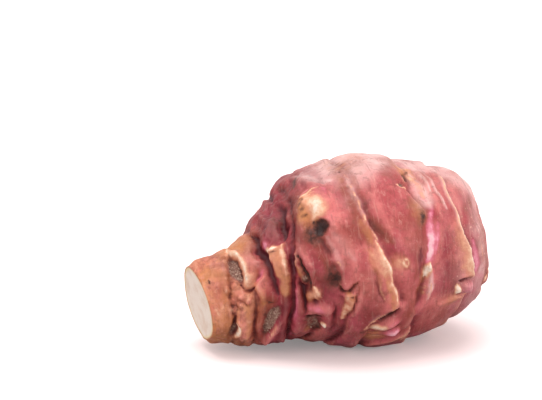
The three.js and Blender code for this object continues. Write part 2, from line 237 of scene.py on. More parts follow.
# From neck to tip. Drop is the step's height, down towards the tip or, below zero, towards the
# neck; lip and groove are how high its lip is and how deep the groove at its foot; cork and
# bare are how far the cork and the fresh skin reach; swell is how far the stem swells before the
# scar. Each place on a scar's line is angle, along, strength of the step, then how strong the
# corky lip, its pale edge, the fresh skin and the dark foot are there, from 0 to 1.
SCARS = (
    dict(drop=0.5, lip=0.4, groove=0.5, cork=1.4, bare=1.5, swell=0.2, line=(
        (0, 11.5, 0.6, 0.3, 0.1, 0, 0.4), (20, 10.6, 0.9, 0.3, 0.1, 0.1, 0.5),
        (60, 7.7, 0.8, 0.3, 0.1, 0.2, 0.4), (78, 7.2, 0.9, 0.3, 0.1, 0.1, 0.5),
        (95, 7.6, 1, 0.3, 0.2, 0.1, 0.6), (115, 7.6, 0.5, 0.2, 0.1, 0, 0.3),
        (150, 8.5, 0.6, 0.3, 0.1, 0, 0.4), (180, 9.5, 0.6, 0.3, 0.1, 0.1, 0.5),
        (220, 10.5, 1, 0.4, 0.2, 0.1, 0.5), (260, 9.2, 0.7, 0.3, 0.2, 0.2, 0.5),
        (300, 11, 1, 0.4, 0.2, 0.1, 0.5), (335, 12, 0.8, 0.3, 0.1, 0, 0.4))),
    dict(drop=0.5, lip=0.4, groove=0.8, cork=1.6, bare=1.6, swell=0.5, line=(
        (0, 17, 0.6, 0.3, 0.1, 0.1, 0.4), (20, 17, 0.7, 0.3, 0.1, 0.3, 0.5),
        (52, 16.6, 0.7, 0.1, 0.1, 0.3, 0.4), (75, 15.2, 0.4, 0.2, 0.2, 0.2, 0.2),
        (90, 14.5, 0.4, 0.2, 0.1, 0.1, 0.2), (110, 14.2, 0.5, 0.2, 0.1, 0.1, 0.2),
        (130, 14.7, 0.9, 0.2, 0.1, 0.2, 0.5), (155, 16.2, 0.8, 0.2, 0.1, 0.2, 0.6),
        (180, 17.2, 0.7, 0.4, 0.2, 0.2, 0.5), (220, 17.6, 0.7, 0.5, 0.4, 0.3, 0.6),
        (260, 16.3, 1, 0.4, 0.3, 0.3, 0.5), (300, 17, 0.8, 0.3, 0.2, 0.2, 0.5),
        (335, 17.4, 0.9, 0.3, 0.2, 0.2, 0.5))),
    dict(drop=0.9, lip=0.5, groove=0.9, cork=1.2, bare=2.0, swell=0.5, line=(
        (0, 22.4, 0.4, 0.1, 0, 0.3, 0.4), (26, 23.8, 0.4, 0, 0, 0.3, 0.4), (52, 25, 0.3, 0, 0, 0.1, 0.1),
        (70, 25.2, 0.3, 0, 0, 0.1, 0.1), (95, 25, 0.5, 0.1, 0, 0.2, 0.2),
        (117, 25.2, 0.9, 0.1, 0, 0.3, 0.5), (144, 26.4, 0.7, 0.2, 0, 0.5, 0.6),
        (180, 25.2, 0.9, 0.3, 0.2, 0.3, 0.5), (220, 23.6, 1, 0.4, 0.4, 0.4, 0.5),
        (260, 24.6, 0.8, 0.3, 0.2, 0.4, 0.6), (300, 23.4, 1, 0.5, 0.4, 0.4, 0.6),
        (335, 22.4, 0.8, 0.2, 0.1, 0.3, 0.5))),
    dict(drop=-0.7, lip=0.5, groove=0.9, cork=1.0, bare=1.5, swell=0.5, line=(
        (0, 28.4, 0.3, 0.1, 0, 0.2, 0.3), (30, 27.8, 0.4, 0.1, 0, 0.3, 0.4),
        (58, 27.2, 0.6, 0.1, 0, 0.2, 0.5), (70, 27.4, 0.8, 0.2, 0.3, 0.1, 0.5),
        (80, 28.8, 0.8, 0.1, 0.3, 0.1, 0.5), (90, 30, 0.8, 0.1, 0.2, 0.1, 0.5),
        (98, 32, 0.8, 0.2, 0.2, 0.2, 0.5), (112, 34.2, 0.4, 0.1, 0.1, 0.3, 0.2),
        (140, 33.6, 0.7, 0.1, 0.1, 0.3, 0.5), (180, 31, 1, 0.2, 0.2, 0.2, 0.5),
        (220, 29.6, 0.7, 0.3, 0.3, 0.3, 0.5), (260, 30.8, 1, 0.4, 0.5, 0.3, 0.6),
        (300, 29.6, 0.8, 0.2, 0.1, 0.3, 0.5), (335, 28.6, 0.7, 0.1, 0.1, 0.3, 0.4))),
    dict(drop=-1.2, lip=0.5, groove=0.7, cork=1.0, bare=2.0, swell=0.7, line=(
        (0, 33.4, 0.2, 0, 0, 0.1, 0.1), (30, 33, 0.1, 0.1, 0, 0.2, 0), (50, 32.6, 0.2, 0.1, 0, 0.2, 0.1),
        (62, 33.6, 0.15, 0, 0, 0, 0), (73, 36, 0.15, 0, 0, 0, 0), (82, 37.2, 0.2, 0, 0, 0, 0),
        (96, 38.4, 0.5, 0.1, 0, 0, 0.2), (116, 40.6, 0.5, 0.2, 0.1, 0.3, 0.3),
        (150, 39.4, 0.8, 0.2, 0.1, 0.3, 0.4), (180, 38.2, 1, 0.3, 0.3, 0.3, 0.5),
        (220, 36.8, 0.8, 0.3, 0.3, 0.4, 0.4), (260, 38.2, 1, 0.4, 0.4, 0.5, 0.6),
        (300, 36.8, 0.6, 0.2, 0.2, 0.3, 0.4), (335, 34.6, 0.4, 0.1, 0, 0.2, 0.2))),
    dict(drop=1.2, lip=0.6, groove=0.5, cork=3.4, bare=2.2, swell=0.5, line=(
        (0, 42, 0.3, 0, 0, 0, 0), (20, 43, 0.3, 0, 0, 0, 0), (44, 43.9, 0.35, 0, 0.1, 0, 0),
        (54, 44.9, 0.4, 0.1, 0.2, 0, 0), (63, 46, 0.5, 0.1, 0.3, 0, 0.1),
        (71, 47.6, 0.6, 0.15, 0.4, 0, 0.1), (81, 49.8, 0.6, 0.2, 0.4, 0, 0.1),
        (93, 51.7, 0.5, 0.2, 0.4, 0, 0.1), (103, 53, 0.5, 0.2, 0.4, 0, 0.1),
        (109, 53, 0.7, 0.2, 0.2, 0.1, 0.2), (115, 50.4, 0.35, 0, 0.1, 0, 0.4),
        (122, 46.8, 0.35, 0, 0.1, 0, 0.4), (145, 45.6, 0.6, 0.2, 0.1, 0.2, 0.4),
        (180, 47.4, 0.7, 0.4, 0.4, 0.3, 0.5), (220, 49, 0.7, 0.5, 0.5, 0.4, 0.4),
        (260, 50, 1, 0.6, 0.7, 0.6, 0.4), (300, 46.6, 0.9, 0.5, 0.6, 0.5, 0.4),
        (335, 43, 0.6, 0.3, 0.4, 0.2, 0.3))),
    dict(drop=1.0, lip=0.5, groove=0.8, cork=2.0, bare=3.4, swell=0.4, line=(
        (0, 57.2, 0.4, 0.1, 0.2, 0.1, 0.2), (15, 58.2, 0.4, 0.1, 0.2, 0.1, 0.2),
        (34, 57.4, 0.5, 0.1, 0.3, 0.2, 0.2), (43, 59.4, 0.5, 0, 0.2, 0.1, 0.3),
        (52, 61.3, 0.4, 0, 0, 0.2, 0.4), (62, 61.3, 0.3, 0, 0, 0.3, 0.3), (70, 61, 0.3, 0, 0, 0.3, 0.3),
        (79, 60.3, 0.3, 0, 0, 0.2, 0.3), (91, 59.2, 0.4, 0, 0, 0.1, 0.3),
        (108, 58.2, 0.5, 0.05, 0.1, 0.3, 0.3), (124, 58, 0.6, 0.1, 0.1, 0.3, 0.3),
        (145, 59, 0.7, 0.3, 0.3, 0.3, 0.4), (180, 61, 0.8, 0.5, 0.5, 0.4, 0.4),
        (220, 62, 0.9, 0.5, 0.7, 0.6, 0.4), (260, 60.4, 0.8, 0.4, 0.6, 0.7, 0.3),
        (300, 58.8, 1, 0.3, 0.5, 0.5, 0.4), (335, 58, 0.7, 0.2, 0.3, 0.3, 0.3))),
    dict(drop=0.9, lip=0.7, groove=0.5, cork=3.6, bare=3.0, swell=0.3, line=(
        (0, 68.4, 0.3, 0.1, 0.1, 0.1, 0), (20, 68.9, 0.3, 0.1, 0.1, 0.1, 0),
        (36, 69.5, 0.3, 0.1, 0.2, 0.1, 0), (50, 71.2, 0.4, 0.1, 0.3, 0.1, 0),
        (65, 72.6, 0.6, 0.1, 0.3, 0.2, 0), (80, 74.3, 0.8, 0.1, 0.3, 0.3, 0.1),
        (94, 75.8, 0.8, 0.2, 0.3, 0.3, 0.2), (106, 76, 0.5, 0.1, 0.1, 0.2, 0.2),
        (124, 74.6, 0.6, 0.3, 0.2, 0.3, 0.3), (150, 72.4, 0.7, 0.5, 0.3, 0.3, 0.3),
        (180, 72, 0.9, 0.5, 0.4, 0.4, 0.3), (220, 73, 1, 0.5, 0.6, 0.6, 0.3),
        (260, 71.4, 0.8, 0.6, 0.7, 0.8, 0.2), (300, 70, 1, 0.5, 0.6, 0.6, 0.2),
        (335, 69, 0.7, 0.3, 0.4, 0.4, 0.1))),
    dict(drop=0.5, lip=0.4, groove=0.4, cork=1.6, bare=2.0, swell=0.2, line=(
        (0, 84.6, 0.8, 0.2, 0.3, 0.2, 0.1), (46, 84.8, 1, 0.3, 0.4, 0.3, 0.2),
        (80, 84.6, 1, 0.3, 0.4, 0.4, 0.2), (110, 83.4, 0.8, 0.4, 0.5, 0.4, 0.3),
        (150, 84.6, 0.9, 0.4, 0.3, 0.3, 0.3), (200, 85.4, 1, 0.4, 0.5, 0.4, 0.3),
        (250, 84, 0.8, 0.4, 0.5, 0.6, 0.3), (300, 85.6, 1, 0.3, 0.4, 0.5, 0.3),
        (335, 85, 0.9, 0.3, 0.4, 0.3, 0.2))),
)


def round_curve(rows, at):
    """The closed smooth curve through rows that start with their angle, at each angle."""
    rows = np.array(rows, float)
    turn = np.zeros(rows.shape[1])
    turn[0] = 360
    ring = np.vstack([rows[-2:] - turn, rows, rows[:3] + turn])
    i = np.searchsorted(ring[:, 0], at, side="right") - 1
    t = (at - ring[i, 0]) / (ring[i + 1, 0] - ring[i, 0])
    return smooth(ring[i - 1], ring[i], ring[i + 1], ring[i + 2], t[:, None])[:, 1:].T


lines = [round_curve(scar["line"], angle)[0] for scar in SCARS]
at_back = ease(angle, 135, 180) * (1 - ease(angle, 325, 352))
for i, scar in enumerate(SCARS):
    line, strength, cork, edge, bare, foot = round_curve(scar["line"], bent_angle % 360)
    wander = WANDER_AT_TIP if scar is SCARS[-1] else WANDER_BEHIND * at_back
    past = bent_along - line + wander * grain(9, 90 + i)
    down = past * np.sign(scar["drop"])
    strength = strength * (1 + 0.7 * grain(6, 30 + i)) * (1 - WEAKER_BEHIND * at_back)
    step = -0.5 * np.tanh(2 * past / STEP_HALF) * np.exp(-np.abs(past) / STEP_RAMP)
    lip = scar["lip"] * bell(down + LIP_BACK, LIP_WIDTH)
    hollowed_foot = scar["groove"] * bell(down - GROOVE_AHEAD, GROOVE_WIDTH)
    height += strength * (scar["drop"] * step + lip - hollowed_foot)
    # The stem swells between this scar and the one before it.
    before = lines[i - 1] if i else 0
    height += scar["swell"] * np.sin(np.pi * np.clip((along - before) / (line - before), 0, 1))
    # Cork on the high side, with a thin pale edge; on the low side bare fresh skin, and a dark foot
    # that is partly dirt and partly painted shade in the groove.
    corky = 1 - ease(-down + 0.8 * fine, 0.1 * scar["cork"], 1.5 * scar["cork"])
    tint("cork", 0.75 * cork * ease(-down, -0.4, 0.4) * corky * (1 + 0.6 * middling + 0.5 * fine))
    tint("cork", edge * bell(down + 0.2, 0.5) * (0.7 + 0.9 * grain(2.5, 50 + i)))
    bared = 1 - ease(down + 0.8 * fine, 0.1 * scar["bare"], 1.5 * scar["bare"])
    tint("fresh", bare * ease(down, -0.3, 0.7) * bared)
    tint("stain", 0.8 * foot * bell(down - 0.5, 0.6) * (0.6 + 0.9 * grain(2.2, 70 + i)))
    tint("rust", 0.4 * foot * bell(past, 2.5))

# ================================================================ the tuber: buds and hollows
# Buds sit on the scars: low mounds, the largest a fat pale knob on the shoulder. Hollows are
# where a root or a scale broke off; most of them hold dry soil and have a pale torn lip.


def lift(amount):
    """Raises the skin by that many millimetres, or lowers it where they are below zero."""
    height[:] = height + amount


def local(at_angle, at_along, turn=0):
    """Millimetres along the tuber and round it from a place, in a frame turned by turn degrees."""
    away = (bent_angle - at_angle + 180) % 360 - 180
    here = section_at(np.array([float(at_along)]))[0, 3:].mean()
    u = bent_along - at_along
    v = np.radians(away) * 0.5 * (here + radius)
    lean = math.radians(turn)
    return u * math.cos(lean) + v * math.sin(lean), v * math.cos(lean) - u * math.sin(lean)


def patch(at_angle, at_along, half_length, half_width, soft=0.4, turn=0):
    """1 over an oval patch, fading out across its outline, 0 beyond it."""
    u, v = local(at_angle, at_along, turn)
    return 1 - ease(np.hypot(u / half_length, v / half_width), 1 - soft, 1 + soft)


def spot(name, amount, at_angle, at_along, half_length, half_width, soft=0.4, turn=0):
    """A tint on an oval patch: which, how strong, where, half its length and half its width, how
    soft its outline is, and how far it is turned."""
    tint(name, amount * patch(at_angle, at_along, half_length, half_width, soft, turn))


def bud(at_angle, at_along, half_length, half_width, tall, turn=0):
    """An oval mound that rounds off to its outline, or a dimple where tall is below zero."""
    u, v = local(at_angle, at_along, turn)
    rounded = np.clip(1 - np.hypot(u / half_length, v / half_width) ** 2, 0, 1) ** 2
    lift(tall * rounded)


def hollow(at_angle, at_along, half_length, half_width, depth, turn=0, soil=0.9):
    """An oval hole with soil in it and a stain round it."""
    lift(-depth * patch(at_angle, at_along, 1.1 * half_length, 1.1 * half_width, 0.6, turn))
    spot("soil", soil, at_angle, at_along, half_length, half_width, 0.4, turn)
    spot("stain", 0.35 * soil, at_angle, at_along, 1.2 * half_length, 1.2 * half_width, 0.4, turn)


def trace(*places):
    """The distance from a line through the places, above zero on the line's tip side, and the
    share of the way along the line that is nearest."""
    middle_along = np.mean([place[1] for place in places])
    here = section_at(np.array([middle_along]))[0, 3:].mean()
    start = places[0][0]
    v = np.radians((bent_angle - start + 180) % 360 - 180) * here
    nearest = np.full(len(along), np.inf)
    share = np.zeros(len(along))
    side = np.ones(len(along))
    corners = [(float(place[1]), math.radians(place[0] - start) * here) for place in places]
    for i, ((u0, v0), (u1, v1)) in enumerate(zip(corners, corners[1:])):
        length = math.hypot(u1 - u0, v1 - v0)
        t = np.clip(((bent_along - u0) * (u1 - u0) + (v - v0) * (v1 - v0)) / length**2, 0, 1)
        distance = np.hypot(bent_along - u0 - t * (u1 - u0), v - v0 - t * (v1 - v0))
        closer = distance < nearest
        nearest = np.where(closer, distance, nearest)
        share = np.where(closer, (i + t) / (len(corners) - 1), share)
        cross = (bent_along - u0) * (v1 - v0) - (v - v0) * (u1 - u0)
        side = np.where(closer, np.where(cross >= 0, 1, -1), side)
    return nearest * side, share


def taper(share):
    """How wide a line is at each share of the way along it, from 1 at its middle."""
    return np.sqrt(np.clip(np.sin(np.pi * (0.04 + 0.92 * share)), 0.02, 1))


def stroke(width, *places):
    """1 on a line through the places, falling off over width, and thinning out at its ends."""
    distance, share = trace(*places)
    return bell(distance / taper(share), width)


def brush(name, amount, width, *places):
    """A tint on a line: which, how strong, how far it spreads, and the places it goes through."""
    tint(name, amount * stroke(width, *places))


def ridge(tall, width, *places):
    """A raised line through the places, or a sunk one where tall is below zero."""
    lift(tall * stroke(width, *places))


def groove(depth, width, *places):
    """A crease through the places, between two slight swellings."""
    distance, share = trace(*places)
    distance = distance / taper(share)
    sides = bell(np.abs(distance) - 1.9 * width, width)
    lift(depth * taper(share) * (0.4 * sides - bell(distance, width)))


def fold(tall, reach, *places):
    """Raises the tip side of a line through the places: a steep edge on the line, and a slow
    fall over reach behind it."""
    distance, share = trace(*places)
    fade = taper(share) ** 2 * np.where((share <= 0) | (share >= 1), bell(distance, 1.5), 1)
    shape = ease(distance, -0.35, 0.45) * np.exp(-np.maximum(distance, 0) / reach)
    lift(tall * fade * (shape - 0.35 * bell(distance + 0.7, 0.7)))


def between(neck_line, tip_line, soft=0.3):
    """1 between two lines that both run the same way round, 0 beyond them and past their ends."""
    from_neck, share = trace(*neck_line)
    from_tip, other_share = trace(*tip_line)
    ends = ease(np.minimum(share, other_share), 0, 0.06)
    ends = ends * (1 - ease(np.maximum(share, other_share), 0.94, 1))
    return ends * ease(from_neck, -soft, soft) * ease(-from_tip, -soft, soft)


# ---------------------------------------------------------------- the neck
# Pointed top and bottom where the cut crosses it, and orange-tan with brown streaks.
at_cut = 1 - ease(along, 0, 9)
for at_angle, tall, wide in ((182, 1.5, 14), (352, 0.9, 16), (75, -0.5, 34), (285, -0.5, 34)):
    height += at_cut * tall * bell((angle - at_angle + 180) % 360 - 180, wide)
height += 0.25 * grain(2.6, 24) * (1 - ease(along, 8, 16))
brush("rust", 0.75, 1.6, (-30, 7), (0, 8), (14, 9), (24, 12.4))
brush("rust", 0.9, 2, (-20, 14.8), (-4, 15.4), (8, 14.8), (18, 13.6))
brush("rust", 0.4, 1, (20, 6.2), (50, 6.4), (80, 6.4), (112, 5.6))
brush("rust", 0.8, 3, (118, 3), (135, 6), (150, 12))
tint("rust", 0.35 * patchy(3, 25, 0.1, 0.4) * (1 - ease(along, 10, 15)))
tint("rust", 0.5 * patchy(1.3, 61, 0.15, 0.5) * (1 - ease(along, 12, 18)))
tint("cork", 0.3 * patchy(1.6, 62, 0.15, 0.5) * (1 - ease(along, 12, 18)))
tint("ochre", 0.4 * patchy(5, 26, -0.1, 0.4) * (1 - ease(along, 8, 14)))
spot("rust", 0.32, 26, 6, 5, 11, 0.9)
spot("rust", 0.5 * patchy(2.4, 60, 0.05, 0.4), 30, 7, 5, 13, 0.9)
brush("pink", 0.5, 1.5, (40, 3.4), (60, 3.8), (80, 4))
spot("cork", 0.3, 92, 3.2, 2.4, 7, 0.9)
spot("stain", 0.7, 43.5, 2.6, 0.5, 0.7)
spot("stain", 0.5, 66, 8.4, 0.3, 0.5)

# The hollow nearest the cut, grey with soil, and the thick pale lip on its tip side.
hollow(38, 11.4, 1.3, 3.5, 1.2, -10, 0.75)
spot("soil", 0.5 * patchy(1.4, 37, 0, 0.4), 40, 10.4, 1.6, 3.6, 0.8, -10)
spot("stain", 0.4 * patchy(1.2, 38, 0.1, 0.4), 38, 11, 1.6, 3.6, 0.7, -10)
wipe("stain", patch(40, 11.2, 1.4, 3.4, 0.4, -10))
spot("dust_and_highlight", 0.6, 40, 11.2, 1.2, 3, 0.4, -10)
brush("stain", 0.8, 0.35, (20, 10.9), (26, 11.7), (34, 12.6), (44, 13), (52, 12.5))
brush("maroon", 0.4, 1.3, (14, 9.8), (30, 9.2), (48, 9.6), (56, 10.6))
brush("crimson", 0.6, 1.2, (44, 9.4), (54, 10), (62, 10.8))
ridge(1.3, 1, (4, 11.2), (16, 12.7), (28, 13.9), (42, 14.6), (54, 14.2))
bud(57, 14.3, 2.2, 3.2, 1.1)
bud(36, 16, 2.4, 5.4, 0.6)
brush("pink", 1, 2, (8, 11.8), (20, 13.4), (32, 14.8), (46, 15.4), (60, 14.2))
brush("cork", 0.62, 0.9, (4, 10.8), (14, 12), (24, 13.3), (34, 14.1), (46, 14.3), (56, 13.8))
brush("cork", 0.5, 0.5, (8, 11), (24, 12.9), (34, 13.8), (46, 14))
spot("cork", 0.62, 56, 13.9, 1.6, 2.6, 0.9)

# The sunk rusty edge where the lip ends, and rusty, tan and crimson skin beyond it.
ridge(-0.8, 0.5, (58, 11.6), (66, 12.4), (71, 14.2), (70, 16))
brush("rust", 0.8, 0.5, (58, 11.8), (66, 12.6), (70.5, 14.2), (70, 15.8))
brush("rust", 0.8, 1.6, (4, 14), (18, 15.4), (30, 16.4))
spot("ochre", 0.8, 2, 13.4, 3.2, 6, 0.7)
brush("crimson", 0.75, 1.2, (18, 16.6), (34, 17), (48, 17.2))

# Low blisters beside the first scar, and the smooth strip and hollow below them.
for at_angle, at_along, size in ((57, 9.4, 0.9), (61, 7.6, 1), (68, 9.2, 1.5), (78, 8.4, 1.2),
                                 (74, 11.2, 0.8), (84, 10.6, 1), (89, 8.4, 0.9), (82, 13.2, 0.8)):
    bud(at_angle, at_along, 1.2 * size, 1.4 * size, 0.8)
    spot("pink", 0.7, at_angle, at_along, size, 1.1 * size, 0.7)
    u, v = local(at_angle, at_along)
    tint("rust", 0.9 * bell(np.hypot(u, 0.8 * v) - 1.2 * size, 0.4) * ease(v - u, -1.5, 1.5))
    tint("stain", 0.25 * bell(np.hypot(u, 0.8 * v) - 1.2 * size, 0.25) * ease(v - u, 0, 1.5))
spot("pink", 0.7, 71, 11.6, 1.8, 2.8, 0.7)
bud(70, 12, 2, 3.4, 0.6)
brush("cork", 0.5, 0.4, (72, 13.4), (78, 13.2), (84, 12.6))
for at_angle, at_along in ((77, 12.8), (81, 11.8), (87, 12.4)):
    spot("stain", 0.45, at_angle, at_along, 0.3, 0.5, 0.8)

# A hollow lower down, with a torn lip and a rosy swelling under it, and a rusty crease.
hollow(124, 7.8, 1.2, 2.8, 1.3, 6, 0.5)
spot("rust", 0.9, 122, 7.6, 1.7, 3.6, 0.6, 6)
brush("stain", 0.7, 0.4, (99, 8.8), (103, 8.9), (106, 8.2))
ridge(-0.7, 0.5, (98, 8.8), (104, 8.7), (110, 8.2))
ridge(0.9, 0.8, (106, 9.6), (115, 10.2), (126, 10), (140, 8.6))
brush("cork", 0.95, 0.6, (109, 9), (115, 9.8), (123, 9.7), (134, 8.8))
ridge(0.8, 1.7, (86, 10.8), (107, 11.6), (135, 11.4))
brush("pink", 0.85, 1.9, (92, 10.8), (107, 11.4), (138, 11))
brush("ochre", 0.5, 1, (86, 13), (105, 13.2), (128, 13))
bud(126, 13, 1.4, 2.4, 0.7)
groove(0.3, 0.6, (78, 14.8), (95, 15), (110, 15.1), (132, 15.2))
brush("rust", 0.9, 0.9, (78, 14.9), (86, 14.9), (100, 15.1), (114, 15.1), (130, 15.2))
brush("stain", 0.3, 0.3, (82, 14.9), (96, 15.1), (108, 15.1))
brush("rust", 0.7, 1.6, (82, 16), (95, 16.6), (112, 16.4))

# ---------------------------------------------------------------- the waist, from the neck's side
# Narrow and deeply creased, because the stem was young and thin when it grew here, and crimson,
# partly its own colour and partly painted shade.

# The smooth band before the first deep groove, and its knob.
bud(44, 16.6, 2, 7, 0.8)
bud(72, 17, 2.1, 3, 1.8)
bud(83, 17.8, 1.9, 2.2, 1.1)
spot("pink", 1, 73, 17, 2, 2.8, 0.5)
spot("ochre", 0.6, 71, 15.8, 0.9, 1.6, 0.7)
spot("cork", 0.3, 73, 16.8, 1.2, 1.8, 0.8)
spot("ochre", 0.5, 82, 17.6, 1, 1.4, 0.7)
spot("fresh", 0.45, 62, 17.6, 1, 1.3, 0.7)
WAIST_GROOVE = ((4, 17.8), (24, 18.2), (40, 18.6), (54, 19.4), (66, 20.2), (77, 21), (90, 22))
groove(1.3, 0.9, *WAIST_GROOVE)
# Painted shade: maroon along the groove.
brush("maroon", 0.75, 1, *WAIST_GROOVE)
brush("stain", 0.7, 0.4, (88, 18.8), (92, 19.4), (94, 20.4))
spot("rust", 0.9, 93, 19.4, 1.8, 2.2, 0.6)
spot("ochre", 0.4, 90, 17.6, 0.8, 1, 0.7)

# The bulging fold over the scale leaf, dull purple above, partly a painted shadow, and bright below.
bud(32, 22, 3.2, 6.6, 1.3, 8)
groove(0.5, 0.5, (20, 23.8), (30, 22.6), (40, 22.4))
groove(0.4, 0.5, (24, 20.8), (33, 20.6), (41, 21.2))
spot("crimson", 0.9, 34, 21.6, 2.8, 5, 0.6)
brush("fresh", 0.4, 0.7, (34, 19.6), (41, 19.7), (47, 20.8))
spot("fresh", 0.4, 37, 19.6, 0.7, 1.2, 0.7)
spot("maroon", 0.75, 20, 22.8, 1.8, 4.6, 0.7)
spot("maroon", 0.5, 31, 22.4, 2.8, 5.6, 0.8)
spot("fresh", 0.28, 38, 21, 1.6, 3.4, 0.9)
spot("rust", 0.5 * patchy(2.6, 64, -0.1, 0.4), 30, 22, 3.4, 7, 0.8)
spot("stain", 0.35, 22, 23.8, 1.1, 2.6, 0.8)
groove(1, 0.8, (-12, 21), (4, 20.4), (16, 20))
UNDER_FOLD = ((4, 25.2), (20, 25.4), (36, 25.2), (48, 24.8))
groove(1.3, 0.9, *UNDER_FOLD)
# Painted shade: maroon along the crease under the fold.
brush("maroon", 0.8, 0.9, *UNDER_FOLD)

# The stub of a scale leaf that lies round the waist: tan, with a curled pale edge at its top.
LEAF_NECK_SIDE = ((43, 19.6), (48, 20.2), (54, 20.3), (60, 21.3), (68, 21.4), (76, 22.4), (86, 22.7),
                  (96, 23.4))
LEAF_TIP_SIDE = ((43, 21.6), (48, 23), (51, 24.6), (56, 24.2), (64, 24.2), (72, 24.9), (82, 25.1),
                 (96, 24.7))
leaf = between(LEAF_NECK_SIDE, LEAF_TIP_SIDE)
height += 0.9 * between(LEAF_NECK_SIDE, LEAF_TIP_SIDE, 0.6)
wipe("maroon", leaf)
wipe("crimson", leaf)
wipe("rust", leaf)
tint("ochre", 0.75 * leaf)
tint("cork", 0.3 * leaf * (1 - ease(bent_angle, 50, 76)))
tint("rust", 0.45 * leaf * patchy(2.2, 27, 0, 0.35))
brush("fresh", 0.3, 0.5, (46, 20), (54, 20.8), (64, 21.6))
brush("rust", 0.7, 0.5, (64, 22.8), (74, 23.6), (84, 24.1), (92, 24.2))
spot("rust", 0.8, 93, 23.8, 1.2, 2.4, 0.7)
brush("stain", 0.26, 0.6, (53, 21.4), (62, 22.4), (70, 23.3), (80, 23.9), (90, 24.2))
brush("stain", 0.3, 0.4, (70, 21.8), (80, 22.6), (90, 23.2))
brush("crimson", 0.8, 0.6, (46, 20.2), (54, 20.7), (62, 21.6))
brush("cork", 0.6, 0.35, (50, 24.2), (56, 23.9), (64, 24), (72, 24.6), (80, 24.8))
fold(0.6, 2, (40, 19.4), (44, 19.8), (49, 21), (53, 22.8))
wipe("rust", stroke(1, (41, 20.2), (45, 20.4), (50, 21.6)))
brush("cork", 0.9, 0.6, (39, 19.4), (42.5, 19.9), (45.5, 20.8), (49, 22.6))
brush("cork", 0.5, 0.3, (40, 19.2), (43, 19.6), (46, 20.6))
brush("stain", 0.5, 0.25, (44, 19.4), (47, 20.4), (50, 21.6), (53, 23))
brush("rust", 0.6, 0.6, (46, 19.6), (50, 20.6), (53, 22))
brush("crimson", 1, 0.7, (37, 20.4), (41, 21.6), (46, 23))
ridge(0.4, 0.4, (54, 24), (64, 24.6), (76, 24.8))
brush("cork", 0.6, 0.3, (54, 23.8), (60, 24.5), (70, 24.7), (78, 24.7))

# The deep crimson furrow beyond the scale leaf, and the cracked peach-coloured ridge in it.
groove(0.5, 1.1, (54, 26.2), (66, 26.2), (80, 26.2), (96, 26.4), (112, 26.6))
wipe("maroon", 0.9 * stroke(2.2, (50, 26.2), (66, 26.4), (82, 26.6), (100, 26.6), (124, 26.8)))
brush("crimson", 0.9, 2, (50, 26.2), (66, 26.2), (82, 26.4), (100, 26.4), (124, 26.6))
brush("fresh", 0.38, 1.2, (58, 26.2), (70, 26.4), (82, 26.6), (98, 26.8), (118, 26.8))

# The cracked ridge, with soil caught in the crack.
ridge(0.8, 0.9, (66, 27.4), (74, 27.9), (82, 28.4), (90, 29))
brush("pink", 0.5, 0.7, (64, 27), (72, 27.6), (78, 28))
brush("ochre", 0.6, 0.5, (70, 27.4), (78, 28), (86, 28.6))
brush("rust", 0.8, 0.6, (74, 27.4), (80, 28), (88, 28.8))
groove(1.3, 0.5, (65, 27.8), (72, 28.6), (80, 29.4), (88, 30.2), (94, 31))
brush("stain", 0.95, 0.3, (66, 27.9), (72, 28.6), (80, 29.4), (88, 30.2), (94, 31))
spot("stain", 0.4, 86, 29.4, 0.9, 2, 0.7, -20)
spot("soil", 0.5, 84.5, 29, 0.6, 1.4, 0.6, -20)
brush("pink", 0.9, 0.9, (58, 27.4), (64, 29), (72, 30.2), (80, 31.4))

# A small tan bud at its low end, and the rest of the furrow.
bud(99, 31.8, 2.4, 2.2, 1.2, -20)
spot("ochre", 0.6, 99, 31.4, 1.8, 1.6, 0.7, -20)
spot("cork", 0.4, 99, 31.6, 1.2, 1.2, 0.8, -20)
brush("cork", 0.7, 0.35, (93, 31.4), (96, 32.6), (100, 33.8))
FURROW_END = ((84, 27.8), (94, 28.8), (104, 29.6), (112, 29.9))
groove(1.2, 0.7, *FURROW_END)
# Painted shade: maroon along the end of the furrow.
brush("maroon", 0.9, 0.7, *FURROW_END)
ridge(1, 1.3, (92, 26.8), (108, 27.6), (124, 28.1), (138, 28.2))
brush("fresh", 0.25, 1, (98, 27), (112, 27.6), (128, 27.9))
groove(1.2, 0.9, (122, 25.2), (136, 25.8), (150, 26.4))
spot("pink", 0.7, 142, 33, 4, 7, 0.9)

# The hollow full of soil at the front of the waist, over a bright fold of skin.
hollow(115, 20.2, 1.9, 4.2, 1.7, 14, 0.8)
spot("stain", 0.5, 126, 19, 1.3, 1.8, 0.7, 10)
spot("stain", 0.5, 104, 18.4, 1.2, 2.2, 0.8)
ridge(1.1, 1, (118, 23.4), (126, 22.4), (135, 21), (146, 19.4))
brush("pink", 0.9, 0.9, (120, 23), (128, 22), (136, 20.8), (148, 18.8))
brush("fresh", 0.35, 0.9, (130, 22.4), (138, 21.4), (150, 19.6))
brush("cork", 0.5, 0.4, (119, 22.6), (126, 21.8), (133, 20.8))
spot("maroon", 0.8, 106, 23.4, 1.3, 3.4, 0.7, 10)
spot("maroon", 0.6, 132, 24.2, 1, 3, 0.7, 10)
